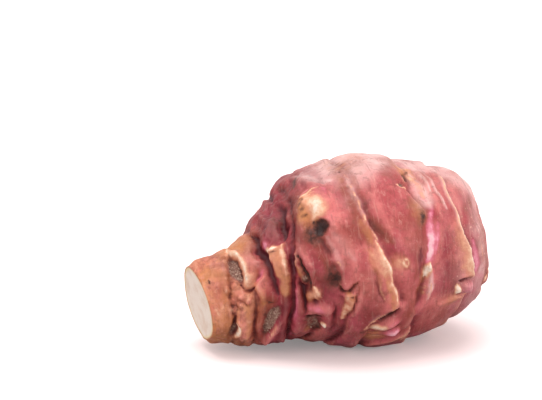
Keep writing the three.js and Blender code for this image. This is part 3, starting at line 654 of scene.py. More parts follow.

# The pink lobe low on the waist, and the brown hollow under it with one pale painted highlight.
bud(110, 33.2, 4, 2.8, 1.9, 10)
spot("crimson", 0.9, 107, 30.6, 1.6, 2.6, 0.7)
wipe("crimson", patch(110, 33.4, 2.6, 1.8, 0.6, 10))
wipe("maroon", patch(110, 33.4, 3, 2, 0.6, 10))
spot("pink", 1, 110, 33.4, 3, 1.9, 0.6, 10)
spot("fresh", 0.42, 109, 32.6, 3, 1.3, 0.7, 14)
groove(1.2, 0.6, (116, 29.6), (117.4, 31.6), (117.4, 34))
hollow(127, 32.2, 1.9, 3.4, 1.2, -8, 0.45)
brush("stain", 0.5, 0.8, (117.6, 30), (119, 32), (120, 34))
spot("rust", 0.9, 127, 32.2, 2, 3.6, 0.5, -8)
brush("stain", 0.6, 0.5, (128, 34.4), (133, 33.6), (138, 32.6))
spot("ochre", 0.5, 133, 31, 0.9, 1.3, 0.6)
# A painted highlight: one small pale glint on a tiny bud.
spot("cork", 1, 124, 34.9, 0.5, 1.1)
bud(124, 35, 0.9, 1.6, 0.9)

# ---------------------------------------------------------------- the shoulder
# A rusty edge, dull crimson skin, and the largest bud of all, ready to grow into a side shoot.
brush("rust", 0.6, 2, (-12, 28.6), (16, 28.2), (30, 28), (38, 28.4))
bud(50, 29.4, 2.6, 4.6, 0.8)
spot("crimson", 1, 52, 28.4, 2.6, 6, 0.8)
spot("maroon", 0.4, 52, 28, 1.8, 5, 0.9)
spot("rust", 0.5, 50, 28.6, 1.4, 4, 0.9)

# The fat bud: a cream crown, an ochre side, a coral patch above and a round black scar below.
bud(33, 33.4, 6.4, 8, 2.4, 10)
bud(12, 33, 4.5, 5.5, 1.4)
# A painted highlight along the ridge over the bud.
ridge(0.8, 0.9, (-8, 31), (4, 32.4), (16, 34.2), (22, 36.6))
brush("dust_and_highlight", 0.9, 1.8, (-10, 33), (4, 34), (16, 36.4), (20, 39))
wipe("maroon", patch(35, 32.5, 4, 6))
wipe("crimson", patch(35, 33, 4, 6, 0.6))
wipe("dust_and_highlight", patch(38, 33, 5, 8, 0.6))
spot("pink", 0.7, 44, 36.6, 2.6, 6, 0.8)
spot("fresh", 0.26, 46, 37, 1.6, 4, 0.9)
spot("crimson", 0.35, 36, 40.4, 2.6, 5, 0.9)
spot("pink", 0.6, 20, 33.6, 3.6, 3.6, 0.8)
spot("crimson", 0.6, 20, 32.4, 2.4, 3.2, 0.8, 20)
brush("fresh", 0.5, 0.8, (26, 30.4), (24.5, 31.8), (23, 33.4))
brush("fresh", 0.4, 0.8, (25, 36), (29, 37), (33, 37.6))
spot("crimson", 0.5, 29, 37, 1.4, 2.2, 0.8)
spot("crimson", 0.8, 31, 37, 1, 1.6, 0.7)
ridge(0.5, 0.4, (27.5, 30.8), (28, 32.4), (27, 34), (26, 36))
brush("cork", 0.7, 0.35, (28, 31), (28.4, 32.4), (27.6, 33.6), (26, 35.6))
brush("cork", 0.5, 0.25, (29.5, 32), (30, 33.4), (29, 34.6))
spot("stain", 0.6, 6, 31.4, 0.9, 2.2, 0.9)
spot("rust", 1, 34, 29.6, 2, 6, 0.8)
spot("stain", 0.24, 36, 29.8, 1.8, 6, 0.9)
spot("stain", 0.3 * patchy(2, 56, -0.1, 0.3), 39, 31.4, 1.6, 6, 0.9, 6)
spot("ochre", 1, 38, 31.8, 1.8, 4.6, 0.7, 6)
spot("ochre", 0.8, 48, 33, 1.3, 1.4, 0.8)
spot("cork", 0.45, 33, 32.6, 1.1, 1.6, 0.8)
spot("cork", 0.5, 47, 33.2, 0.9, 1.1, 0.8)
spot("cork", 0.75, 40.5, 34.6, 2, 2.8, 0.9)
spot("cork", 0.7, 40, 34.2, 1.2, 1.7, 0.9)

# Specks of dirt on the bud, and the black scar with two small grains in it.
for at_angle, at_along, size in ((38, 31.6, 0.45), (34, 30.6, 0.35), (31, 31.8, 0.3), (43, 31.8, 0.3),
                                 (50, 32.8, 0.35)):
    spot("stain", 0.55, at_angle, at_along, size, 1.3 * size, 0.8)
spot("rust", 1, 56, 32, 3.2, 3.8, 0.8)
tint("stain", 0.75 * patch(58, 32.2, 2, 3.2, 0.9) * patchy(1.8, 59, -0.5, 0.2))
wipe("cork", patch(54, 34.5, 2, 2.2))
spot("stain", 0.5, 54, 34.5, 1.9, 2.2)
spot("stain", 1, 54, 34.7, 1.4, 1.7, 0.7)
bud(54, 34.5, 2.4, 2.6, -1.3)
bud(53, 34.9, 0.7, 0.9, 0.5)
bud(56, 34.2, 0.6, 0.7, 0.4)
ridge(0.4, 0.5, (49, 36.2), (54, 36.8), (59, 36))
brush("maroon", 0.7, 0.4, (50, 35.9), (54, 36.5), (58, 35.8))

# The edge of the shoulder under the black scar, with a painted highlight along it, and a dark damp
# patch where it ends.
fold(0.5, 4.5, (57, 33), (61, 34), (67, 35), (75, 36.4), (82, 37), (88, 38.2))
ridge(0.5, 1.8, (56, 37.4), (64, 38.6), (74, 40.6), (84, 42))
brush("pink", 1, 2.2, (58, 36.4), (66, 38.2), (76, 40.4), (86, 42))
brush("dust_and_highlight", 0.25, 1.4, (60, 37), (68, 39), (78, 41.2))
wipe("maroon", 0.8 * stroke(3, (56, 31.4), (66, 33), (78, 34.6)))
brush("crimson", 0.5, 2.2, (56, 31.4), (66, 33), (78, 34.6))
brush("rust", 0.4, 1.6, (60, 32), (68, 33.6), (78, 35))
brush("dust_and_highlight", 0.35, 0.8, (60, 35), (66, 36), (74, 37.4), (82, 38.2))
spot("stain", 0.45, 87.5, 36.2, 2.4, 2.4, 0.9)
spot("stain", 0.6, 88.5, 37.2, 0.9, 1.6, 0.8)
tint("stain", 0.46 * patch(86.5, 35.7, 1.6, 2.7, 0.9, 10) * patchy(1.6, 65, -0.6, 0.2))
spot("rust", 0.9, 86.5, 35.9, 2.2, 3.2, 0.8, 10)
brush("rust", 0.9, 0.9, (76, 34.6), (80, 34.9), (85, 35.6))
brush("rust", 0.6, 1.6, (60, 33.2), (66, 33.8), (74, 34.2), (82, 34.8))
brush("maroon", 0.36, 1.2, (60, 33.4), (66, 34), (74, 34.6))
brush("pink", 0.5, 1.2, (61, 36.2), (68, 36.8), (76, 37.6), (82, 38.4))
brush("stain", 0.4, 0.5, (77, 34.6), (81, 35), (86, 35.8))
brush("cork", 0.6 * patchy(1.2, 29, 0, 0.4), 0.4, (74, 37), (79, 37.6), (84, 38))
spot("stain", 0.5, 87, 37.3, 0.6, 1.2, 0.6)
spot("maroon", 0.6, 90, 35.4, 2.4, 4, 0.7)
bud(90, 36, 2, 2.6, -0.7)

# The mouth-shaped eye beside it, with a tan leaf-shaped scar below.
SMILE = ((92.4, 37.8), (95.2, 38.1), (96.8, 39), (96.4, 40.2), (94.2, 41.3), (90.6, 42.2))
groove(1.1, 0.5, *SMILE)
brush("rust", 1, 0.6, *SMILE)
brush("stain", 0.5, 0.32, *SMILE)
brush("pink", 0.8, 0.5, (97.4, 39.2), (98, 40.4), (97, 42))
brush("cork", 0.5, 0.3, (90, 37.6), (93, 37.9), (96.6, 38.2))
brush("pink", 0.6, 0.5, (95, 38.6), (97, 39.6), (94.4, 41))
LEAF_SCAR = (((96, 39.8), (100, 39), (108, 38.6), (119, 39)),
             ((94, 42.2), (101, 41.5), (109, 40.6), (119, 39.8)))
tan_wedge = between(*LEAF_SCAR, 0.35)
height += 0.5 * between(*LEAF_SCAR, 0.6)
tint("ochre", 0.62 * tan_wedge)
tint("cork", 0.55 * tan_wedge * patchy(1.8, 30, -0.4, 0.2))
brush("rust", 1, 0.35, (93, 42.4), (101, 41.9), (109, 41), (119, 40))
spot("stain", 0.7, 99.6, 40.8, 0.4, 0.5, 0.6)
ridge(0.6, 0.7, (100, 42.9), (107, 42.3), (114, 41.4))
brush("pink", 0.9, 0.8, (98, 42.9), (106, 42.3), (114, 41.4))
spot("rust", 0.5, 120, 38.6, 2.2, 2, 0.8)
groove(0.7, 0.6, (98, 41.9), (106, 41.4), (115, 40.4))
groove(0.9, 0.7, (103, 36.6), (112, 37), (122, 37.4), (134, 37))
spot("maroon", 0.5, 128, 38.4, 2.2, 5, 0.7)

# ---------------------------------------------------------------- the first big scar
# Rust beside its upper end, a deep rusty pit behind it, and a broad tan foot.
bud(50, 37.4, 3.4, 9, 0.5)
spot("pink", 0.5, 48, 37.4, 1.6, 8, 0.7)
brush("rust", 0.75, 1.5, (24, 42), (38, 42.6), (50, 43), (62, 44), (70, 45.2))
spot("rust", 0.6, 58, 42.4, 1.5, 3, 0.8)
S1_LINE = ((12, 42.2), (24, 43.2), (38, 43.8), (48, 44.4), (58, 45.5), (68, 47))
# The crest line: a pale painted highlight on a low ridge, with some corky skin along it.
brush("dust_and_highlight", 0.75, 0.45, *S1_LINE)
tint("cork", 0.7 * stroke(0.25, *S1_LINE) * patchy(2, 35, -0.3, 0.2))
ridge(0.3, 0.5, *S1_LINE)
brush("rust", 0.5, 0.7, (20, 44.6), (36, 45.2), (50, 46))
brush("dust_and_highlight", 0.6, 0.3, (30, 42.8), (42, 43.2), (52, 44), (62, 45))
brush("cork", 0.3, 0.2, (56, 46.4), (63, 47.2), (70, 48.6))

# The rusty pit, and the swelling behind it.
brush("rust", 1, 1.5, (54, 46.6), (60, 47.6), (66, 49.2), (71, 51))
brush("rust", 0.9, 1, (56, 46.6), (61, 47.4), (66, 48.8))
brush("stain", 0.34, 0.9, (57.5, 46.9), (61, 47.6), (65.5, 49))
ridge(-0.3, 1.2, (56, 46.4), (62, 47.6), (69, 49.8))
brush("rust", 0.6, 0.9, (46, 45.6), (54, 46.4), (62, 48.2), (70, 49.8))
ridge(0.6, 1.6, (40, 47.4), (54, 49.4), (66, 50.8), (76, 52.4))
brush("pink", 0.5, 1.6, (40, 47.4), (54, 49.4), (66, 50.8))

# A pale painted highlight on top, with a rusty edge and short nicks.
spot("dust_and_highlight", 0.95, 2, 47, 7, 10, 0.8)
spot("dust_and_highlight", 1, -2, 46, 5, 9, 0.8)
spot("dust_and_highlight", 0.8, 6, 47, 4, 8, 0.9)
spot("cork", 0.26, 0, 46.6, 3.6, 7, 1)
spot("rust", 0.75, 14, 42.4, 2, 6, 0.9)
spot("ochre", 0.35 * patchy(2.2, 36, -0.1, 0.4), 13, 42.6, 2.4, 8, 0.9)
spot("stain", 0.5 * patchy(1.5, 28, 0.1, 0.5), 13, 42.6, 2.6, 8, 0.8)
brush("rust", 0.7, 1.4, (30, 41.6), (44, 42.4), (54, 43.4))
brush("rust", 0.9, 1.2, (50, 42.9), (58, 43.6), (66, 44.9), (72, 46.2))
brush("ochre", 0.4, 1, (56, 43.6), (63, 44.8), (70, 46.2))
for at_angle, at_along in ((4, 38.4), (9, 40.6), (13, 43), (17, 41.8), (24, 45.6), (10, 51.6), (16, 53)):
    nick = ((at_angle - 1.5, at_along - 0.8), (at_angle, at_along), (at_angle, at_along + 0.9))
    brush("stain", 0.5, 0.3, *nick)


def front_band(scar, begins, full, wanes, ends):
    """The front of the skin on a scar's high side, over that run of angles: how far each point
    belongs to it, and how far past the scar's line it is, below zero on the band's side."""
    round_here = bent_angle % 360
    belongs = ease(round_here, begins, full) * (1 - ease(round_here, wanes, ends)) * (angle < 180)
    return belongs, bent_along - round_curve(scar["line"], round_here)[0]


# The band: rosy where it begins, then tan, and corky along the scar.
band, inside = front_band(SCARS[5], 66, 82, 108, 113)
tint("pink", 0.8 * band * ease(inside + 1.2 * fine, -8, -3) * (1 - ease(inside, -0.6, 0.2)))
narrow = 1 - 0.7 * ease(bent_angle, 78, 98)
inner_edge = ease(inside + 1.6 * fine + middling, -6 * narrow, -0.8)
tint("cork", 0.55 * band * inner_edge * (1 - ease(inside, -0.4, 0.2)) * narrow)
inner_edge = ease(inside + 1.6 * fine, -5.5 * narrow, -1.2)
tint("ochre", (0.2 + 0.65 * ease(bent_angle, 80, 96)) * band * inner_edge * (1 - ease(inside, -1.6, 0)))
brush("cork", 0.6, 0.3, (68, 46.8), (78, 48.9), (88, 50.7), (98, 52.2), (106, 52.8))
brush("ochre", 0.6, 0.9, (92, 50), (102, 51.2), (111, 51.6))
brush("ochre", 0.4, 1, (74, 45.6), (84, 46.8), (94, 48.2))
groove(0.6, 0.6, (82, 46), (91, 47), (98, 47.8), (106, 49.4))
# Painted shade: maroon along this groove.
brush("maroon", 0.4, 0.9, (84, 45.6), (94, 47.2), (104, 48.8))
brush("cork", 0.4, 0.35, (90, 47.6), (98, 48.2), (105, 49.6))
bud(109, 54, 2, 2.4, 0.9)
brush("pink", 0.9, 0.7, (104, 53.2), (108, 54), (111, 55.2))

# The dark cleft low on the front, and the two long pink buds under it.
groove(1.3, 0.7, (110, 53.4), (113, 51.8), (115.5, 50), (118, 47.8))
brush("stain", 0.9, 0.7, (111.5, 52.6), (114, 51), (116, 49.4))
spot("stain", 0.5, 113.4, 50.6, 1.6, 1.1, 0.7, -20)
spot("rust", 0.6, 110, 46, 2.8, 6, 0.9)
spot("maroon", 0.3, 112, 46.4, 2.4, 5, 0.9)
brush("dust_and_highlight", 0.4, 0.5, (112, 48.8), (115.5, 47.6), (119.5, 46))
brush("cork", 0.6, 0.45, (112, 50), (115, 48.4), (119, 46.8), (125, 45.4))

# The two buds, tan where they start, with a crease between them and a rosy lip below.
bud(121, 50.8, 4.6, 2.3, 1.7, -24)
bud(127.5, 53, 3.2, 1.9, 1.6, -32)
spot("pink", 1, 121, 50.8, 4, 1.6, 0.6, -24)
spot("fresh", 0.45, 119.4, 52.6, 1.8, 1, 0.7, -24)
spot("cork", 0.8, 123, 48.8, 2.4, 0.9, 0.7, -24)
spot("pink", 1, 127.5, 53, 2.8, 1.4, 0.6, -32)
spot("fresh", 0.8, 127.5, 52.6, 2.2, 1, 0.7, -32)
groove(0.9, 0.45, (130, 46.6), (129, 48.4), (127, 50.2), (124.5, 52.2), (122, 54.4))
brush("ochre", 0.95, 0.7, (130, 46.2), (129, 48.4), (127, 50.2))
brush("crimson", 0.8, 0.5, (127, 50.2), (124.5, 52.2), (122, 54.4))
spot("ochre", 0.8, 134, 48.4, 2.4, 1.4, 0.7, -20)
brush("cork", 0.5, 0.4, (137, 46.4), (134, 48.6), (131.4, 50.4))
spot("stain", 0.45, 127, 45.2, 1, 1.4, 0.7)
PINK_LIP = ((146, 47.6), (141, 50), (138, 52.4), (134, 55), (129, 58))
ridge(0.9, 0.9, *PINK_LIP)
brush("pink", 0.9, 0.9, *PINK_LIP)
brush("cork", 0.5, 0.4, (139, 52), (134, 55.2), (129, 58))
brush("cork", 0.5, 0.5, (144, 56.4), (136, 57), (134, 58.8))
brush("stain", 0.5, 0.5, (146, 57.4), (139, 58.4), (140, 60))
spot("rust", 0.6, 120, 57, 3, 4, 0.8)

# ---------------------------------------------------------------- between the big scars
# A small breathing pore, ringed, in a tan patch, and a coral flush above it.
spot("crimson", 0.5, 76, 51.6, 2, 4, 0.8)
spot("pink", 0.9, 85, 53, 3, 3.2, 0.8)
spot("cork", 0.42, 82, 53.2, 1.7, 1.7, 0.8)
PORE_ANGLE, PORE_ALONG, PORE_RADIUS = 81.5, 54.7, 0.8
STEM_RADIUS = 22
round_pore = np.radians(angle - PORE_ANGLE) * STEM_RADIUS
ringed = np.hypot(1.3 * (along - PORE_ALONG), round_pore) - PORE_RADIUS
height += 0.3 * bell(ringed, 0.4)
tint("cork", 0.7 * bell(ringed, 0.3))
tint("rust", 0.5 * bell(ringed + 0.85, 0.35))
tint("rust", 0.4 * bell(ringed - 0.7, 0.3))
spot("ochre", 0.4, 81, 52.8, 2.2, 1.8, 0.9)
spot("rust", 0.45, 16, 55, 2.2, 5, 0.9)
spot("stain", 0.35, 54, 59.6, 1.3, 2.6, 0.8)
spot("stain", 0.5, 55.5, 60.5, 0.6, 1.4, 0.7)
brush("rust", 0.7, 1.6, (42, 57.6), (52, 58.8), (62, 59.4), (74, 58.8), (90, 57.6))
brush("maroon", 0.85, 0.7, (73, 59.2), (80, 59), (88, 58.6))
spot("rust", 0.35, 100, 56.6, 2, 3, 0.8)
spot("pink", 0.6, 104, 56, 2.6, 4, 0.9)

# The second big scar: two small pits at its top, a pale facet, and the fresh band at the front.
bud(20, 59.6, 3, 3.6, 1.2)
spot("ochre", 0.7, 20, 58.8, 2, 2.6, 0.9)
spot("cork", 0.8 * patchy(1.4, 31, -0.1, 0.3), 20, 59.4, 2.2, 2.8, 0.8)
spot("stain", 0.5 * patchy(1.3, 32, 0.1, 0.4), 21, 58.6, 2.2, 3, 0.8)
spot("rust", 0.6, 12, 57, 1.2, 4, 0.9)

# The two pits, and pale torn edges beside them.
for at_angle, at_along in ((24.5, 58.6), (33, 56.4)):
    hollow(at_angle, at_along, 0.7, 0.9, 1, 0, 0.5)
    spot("stain", 0.95, at_angle, at_along, 0.5, 0.6, 0.5)
brush("cork", 0.8, 0.45, (-6, 56.6), (5, 57.4), (11, 58))
brush("cork", 0.85, 0.4, (34, 54.8), (35.6, 56.4), (34.6, 57.6))

# The pale facet under them, and two crests further on, all with painted highlights.
brush("pink", 1, 1.8, (27, 60), (36, 60.8), (46, 62.8))
brush("dust_and_highlight", 1, 1.9, (24, 60), (33, 60.9), (42, 62.4), (48, 63.2))
brush("dust_and_highlight", 0.9, 1.5, (24, 60), (33, 60.9), (42, 62.4))
brush("cork", 0.4, 1.4, (25, 60), (33, 60.9), (42, 62.4))
brush("fresh", 0.35, 1.2, (28, 60.4), (36, 61), (44, 62.6))
bud(35, 60.6, 2.6, 3.6, 0.7)
DUSTY_CREST = ((16, 64.4), (28, 65.4), (40, 66.6), (50, 68))
ridge(0.4, 0.5, *DUSTY_CREST)
brush("dust_and_highlight", 0.8, 0.5, *DUSTY_CREST)
ridge(0.5, 0.9, (10, 62.6), (24, 63.6), (40, 64.6), (54, 66))
brush("pink", 0.9, 0.9, (8, 62.4), (24, 63.6), (40, 64.6), (56, 66.2))
brush("dust_and_highlight", 0.9, 0.5, (4, 62), (24, 63.4), (38, 64.4))
spot("pink", 0.6, 30, 66.6, 2, 8, 0.9)

# The fresh band: a sharp edge on the neck's side, fading towards the tip.
FRESH_EDGE = ((53, 61.6), (60, 61.6), (66, 61.5), (72, 61.2), (78, 60.7), (86, 60.2))
ridge(0.9, 1.3, *((at_angle, at_along + 1) for at_angle, at_along in FRESH_EDGE))
ridge(-0.5, 0.7, (50, 60.4), (60, 60.4), (70, 60), (80, 59.4), (90, 58.8))
past, share = trace(*FRESH_EDGE)
stretch = ease(share, 0.02, 0.4) * (1 - ease(share, 0.8, 1)) * ease(past + 0.3 * fine, -0.4, 0.3)
wipe("stain", stretch * (1 - ease(past, 2, 4)))
paler_side = 0.86 - 0.52 * ease(past + 0.5 * middling, 0.5, 2.8)
tint("fresh", stretch * paler_side * (1 - ease(past + 0.6 * middling, 2.4, 4.8)))
brush("fresh", 0.42, 0.9, (51.5, 62.6), (55, 62.9), (60, 62.9))
tint("pink", 0.8 * stretch * (1 - ease(past, 3, 6)))

# The rosy swelling that takes over from it, with a painted highlight along its top.
ridge(1, 1.5, (84, 61.6), (92, 62.2), (100, 62), (108, 60.6), (116, 58.4), (124, 56))
brush("pink", 0.9, 1.5, (84, 62), (92, 62.4), (100, 62.2), (108, 60.8), (116, 58.6), (124, 56))
brush("rust", 0.7, 1, (88, 59), (98, 59.4), (108, 58), (116, 56))
brush("dust_and_highlight", 0.8, 0.6, (86, 61.6), (94, 62.2), (102, 62))
brush("dust_and_highlight", 0.9, 0.7, (90, 62.2), (98, 62.4), (106, 61.4))
brush("cork", 0.45, 0.35, (94, 62.2), (100, 62.2), (106, 61.2))

# Where the fresh band starts, and the corky knot where it ends.
spot("crimson", 0.9, 53, 63.6, 0.9, 2.6, 0.7)
spot("fresh", 0.45, 51, 63.4, 0.8, 2, 0.7)
spot("ochre", 0.4, 50, 59.4, 1.8, 3, 0.9)
spot("dust_and_highlight", 0.7, 46, 60, 1.6, 2.4, 0.9)
spot("stain", 0.4, 53, 60.2, 1, 2.6, 0.9)
brush("ochre", 0.6, 1.1, (82.5, 62), (87, 60.9), (91.5, 59.6))
brush("pink", 0.8, 1.3, (90, 60.4), (96, 60.2), (103, 59.8))
brush("ochre", 0.75 * patchy(1.4, 63, -0.3, 0.2), 1.2, (89, 60.4), (95, 60.2), (102, 59.8))
brush("cork", 0.45 * patchy(1.1, 66, -0.1, 0.3), 1.1, (89, 60.6), (95, 60.4), (102, 60))
brush("cork", 1, 1.15, (82.5, 62.1), (87, 61.1), (91, 60))
brush("cork", 0.9, 0.6, (84, 61.9), (87, 61.1), (90, 60.2))
ridge(0.4, 0.9, (83, 62.1), (87, 61.1), (90.5, 60))
brush("fresh", 0.45, 0.6, (58, 64.8), (64, 64.8), (70, 64.4), (76, 63.8))
brush("fresh", 0.35, 1, (82, 62.4), (88, 62.6), (96, 62.6))
brush("rust", 0.6, 0.6, (91, 58.8), (98, 58.8), (104, 58.6))
spot("maroon", 0.35, 98, 67.4, 2.6, 6, 0.9)
brush("crimson", 0.5, 1.6, (64, 66.8), (80, 67.4), (92, 67.6))

# ---------------------------------------------------------------- the last big scar and the tip
# A tan band behind a pale crest, its paleness partly a painted highlight, fresh skin low in front,
# and a bud where the crest ends.
band, inside = front_band(SCARS[7], 46, 84, 99, 106)
rough_inside = inside + 1.2 * fine
tint("pink", 0.9 * band * ease(rough_inside, -6, -2.4) * (1 - ease(inside, -1, 0)))
tint("ochre", 0.42 * band * ease(rough_inside, -4.4, -1.6) * (1 - ease(inside, -1, 0)))
tint("cork", 0.5 * band * ease(rough_inside + 0.8 * middling, -3.8, -0.8) * (1 - ease(inside, -0.3, 0.3)))
LAST_CREST = ((6, 68.4), (20, 68.6), (36, 69.3), (50, 71), (65, 72.4), (79, 74.1), (94, 75.6),
              (104, 75.8))
ridge(0.6, 0.8, *LAST_CREST)
brush("dust_and_highlight", 1, 0.7, *LAST_CREST)
brush("cork", 0.7, 0.4, *LAST_CREST[1:])
brush("cork", 0.5, 0.3, (28, 68.9), (44, 70.2), (58, 71.7), (70, 73))
brush("pink", 0.6, 1.6, (8, 70), (30, 71), (48, 73))
brush("crimson", 0.9, 1.5, (72, 76.2), (82, 77.4), (94, 78.4), (102, 78))
wipe("dust_and_highlight", 0.8 * stroke(1.6, (72, 76.2), (82, 77.4), (94, 78.4), (101, 78)))
brush("fresh", 0.5, 1.3, (74, 76.4), (84, 77.6), (94, 78.4), (101, 78))
brush("maroon", 0.35, 1.2, (74, 77.6), (84, 78.8), (94, 79.6), (101, 79.2))
brush("cork", 0.6, 0.3, (66, 72.8), (78, 74.3), (90, 75.5), (99, 76))

# The bud at the low end of the crest, with a painted highlight on it, and a tan scar beside it.
bud(109, 73.4, 3.4, 2.6, 2.3)
wipe("cork", 0.9 * patch(109, 73.6, 2.8, 2))
wipe("ochre", 0.9 * patch(109, 73.6, 2.8, 2))
spot("fresh", 0.42, 110, 73.8, 2.8, 2, 0.6)
spot("dust_and_highlight", 0.4, 110, 74.4, 1.8, 1.4, 0.8)
# A small bud with a white painted highlight on it.
bud(108, 70.6, 1.4, 2.2, 1)
spot("cork", 1, 107.5, 70.5, 0.7, 1.8)
groove(0.9, 0.6, (101, 71), (103, 73), (105, 76))
groove(0.7, 0.6, (114, 70.4), (115, 73), (114, 76))
ridge(0.6, 1.2, (115, 65.5), (117, 70), (119, 73))
spot("ochre", 0.45, 116.5, 70, 3.6, 1.7, 1, 12)
spot("cork", 0.4, 115.5, 70.4, 2.4, 1, 1, 12)
spot("pink", 0.6, 113, 66, 4, 2.4, 0.9, 12)

# The slope down to the blunt end, paler in places with dusty skin and with painted highlights.
spot("rust", 0.8, 38, 79.1, 1.6, 1.6, 0.8)
spot("crimson", 0.9, 38, 79.1, 1.6, 1.6, 0.8)
brush("dust_and_highlight", 0.5, 1.2, (60, 79.5), (76, 81), (90, 81.4), (104, 80))
spot("fresh", 0.22 * patchy(3.5, 57, -0.1, 0.4), 96, 80.5, 5, 16, 0.9)
brush("cork", 0.4, 0.4, (70, 80.6), (82, 81.4), (94, 81.6))
spot("crimson", 0.6, 46, 80, 4, 7, 0.8)
spot("dust_and_highlight", 0.35, 88, 82, 4, 12, 0.8)
tint("dust_and_highlight", 0.35 * patchy(2, 33, 0, 0.4) * ease(along, 78, 84))
brush("rust", 0.4, 0.7, (60, 82.4), (78, 83.4), (94, 83.2))
spot("crimson", 0.3, 106, 82, 5, 12, 0.9)
spot("fresh", 0.22, 104, 81, 4, 9, 0.9)
spot("rust", 0.4, 128, 68, 2.4, 3, 0.8)
spot("pink", 0.8, 117, 64, 4, 4, 0.9, 10)
spot("fresh", 0.2, 117, 64, 4, 3, 0.9, 10)

# The blunt end: the bud that would have grown on, with torn rings of small scales round it, and
# a lesser bud. Places here are millimetres across and up on the end's own face.
END_FROM, END_FULL = 84, 88
end_y = plain[:, 1] + 1.2 * grain(5, 45) + 0.4 * grain(1.6, 46)
end_z = plain[:, 2] + 1.2 * grain(5, 47) + 0.4 * grain(1.6, 48)
at_end = ease(along, END_FROM, END_FULL)
behind = ease(end_y, -9, -1)
end_height = 0.3 * grain(5, 49) * at_end * behind
for y, z, size, tall in ((3.4, 27.8, 3, 1), (-8.8, 18.4, 1.5, 0.5)):
    across, up = end_y - y, end_z - z
    reach = np.hypot(across, 0.8 * up)
    end_height += at_end * tall * np.clip(1 - (reach / size) ** 2, 0, 1) ** 1.5
    scale_edge = bell(reach - 1.05 * size, 0.45) * ease(up - 0.5 * across, -0.4 * size, 0.6 * size)
    end_height += at_end * 0.35 * scale_edge - at_end * 0.3 * bell(reach - 1.3 * size, 0.5)
    tint("pink", 0.9 * at_end * (1 - ease(reach, 0.5 * size, 1.2 * size)))
    tint("fresh", 0.5 * at_end * (1 - ease(reach, 0.1 * size, 0.6 * size)))
    tint("cork", 0.75 * at_end * scale_edge * patchy(2.4, 53, -0.3, 0.2))
    tint("rust", 0.8 * at_end * bell(reach - 1.45 * size, 0.8))
    tint("stain", 0.5 * at_end * bell(np.hypot(across - 0.2 * size, up + 0.3 * size), 0.22 * size))
reach = np.hypot(end_y - 3.6, 0.82 * (end_z - 28.4)) + 0.9 * grain(6, 58)
for far, seed in ((5.6, 54), (9.6, 55)):
    torn = patchy(4.2, seed, 0.05, 0.45) * at_end
    end_height += behind * torn * (0.4 * bell(reach - far, 0.9) - 0.3 * bell(reach - far - 1.3, 0.6))
    tint("cork", 0.5 * torn * bell(reach - far, 0.4))
    tint("rust", 0.6 * torn * bell(reach - far - 1.2, 0.9))
wipe("dust_and_highlight", 0.6 * at_end)
tint("crimson", (0.25 + 0.45 * patchy(7, 50, -0.1, 0.4)) * at_end)
tint("rust", 0.5 * patchy(5, 51, 0.1, 0.5) * at_end)
tint("pink", 0.6 * patchy(6, 52, 0, 0.4) * at_end)

# ---------------------------------------------------------------- the underside, the back and the top
# Larger buds with a corky scar on each, hollows with a pale lip, and deep creases with maroon painted
# shade in them.
for place in ((212, 37.6, 4.2, 4.4, 2, 10), (292, 48.6, 5.4, 5, 2, -14), (226, 63.4, 4, 3.4, 1.9, 8),
              (268, 73.4, 3.2, 2.8, 1.6), (318, 71.6, 3, 2.8, 1.2), (252, 27.4, 3.4, 3, 1.5),
              (338, 87.6, 2.2, 2.2, 0.9), (215, 88.4, 2.4, 2.2, 1)):
    bud(*place)
    at_angle, at_along, half_length, half_width = place[:4]
    low = at_along - 0.5 * half_length
    spot("pink", 0.8, at_angle - 3, at_along + 0.3 * half_length, 0.9 * half_length, half_width, 0.7)
    spot("ochre", 0.8, at_angle + 3, low, 0.5 * half_length, 0.8 * half_width, 0.7, 15)
    spot("cork", 0.62, at_angle - 2, at_along + 0.4, 0.3 * half_length, 0.45 * half_width, 0.8)
    spot("stain", 0.6, at_angle + 4, low - 0.4, 0.15 * half_length, 0.2 * half_width, 0.7)
for place in ((300, 16.2, 1.7, 2.8, 1.5, -10), (205, 21.2, 1.9, 3, 1.5, 14), (240, 34.6, 1.8, 2.6, 1.3)):
    hollow(*place)
    at_angle, at_along, half_length, half_width = place[:4]
    reach = np.degrees(half_width / section_at(np.array([float(at_along)]))[0, 3])
    lip = ((at_angle - reach, at_along + 0.6 * half_length), (at_angle, at_along + 1.7 * half_length),
           (at_angle + reach, at_along + 0.8 * half_length))
    ridge(0.9, 1, *lip)
    brush("cork", 0.95, 0.7, *lip)
for places in (((196, 17), (220, 18), (240, 19.4), (256, 19)),
               ((300, 26), (320, 26.6), (344, 26), (360, 25)),
               ((168, 29), (188, 30), (212, 30.6)),
               ((236, 21), (260, 22), (282, 23))):
    groove(1.2, 0.9, *places)
    brush("maroon", 0.8, 1, *places)

# ================================================================ the tuber: its mesh
# What stands out from the plain form fades at the rim of the cut and where the tip closes.
near_cut = 0.3 + 0.7 * ease(along, 0, 3)
near_tip = ease(100 - along, 0, 10)


def blurred(values, rows_each_way, columns_each_way):
    """The values averaged over the rows and columns around each point."""
    field = values.reshape(ROWS, COLUMNS)
    for each_way, beyond in ((rows_each_way, "edge"), (columns_each_way, "wrap")):
        width = 2 * each_way
        total = np.cumsum(np.pad(field, ((each_way, each_way), (0, 0)), mode=beyond), axis=0)
        field = ((total[width:] - total[:-width]) / width).T
    return field.ravel()


# How far each point lies below (above zero) or above (below zero) the skin around it.
# The skin's material paints shade where a point lies below the skin around it, and a highlight where it stands
# above.
close_round = blurred(blurred(height, 3, 3), 3, 3)
wide_round = blurred(blurred(height, 8, 9), 8, 9)
dips = close_round + 0.8 * wide_round - 1.8 * height
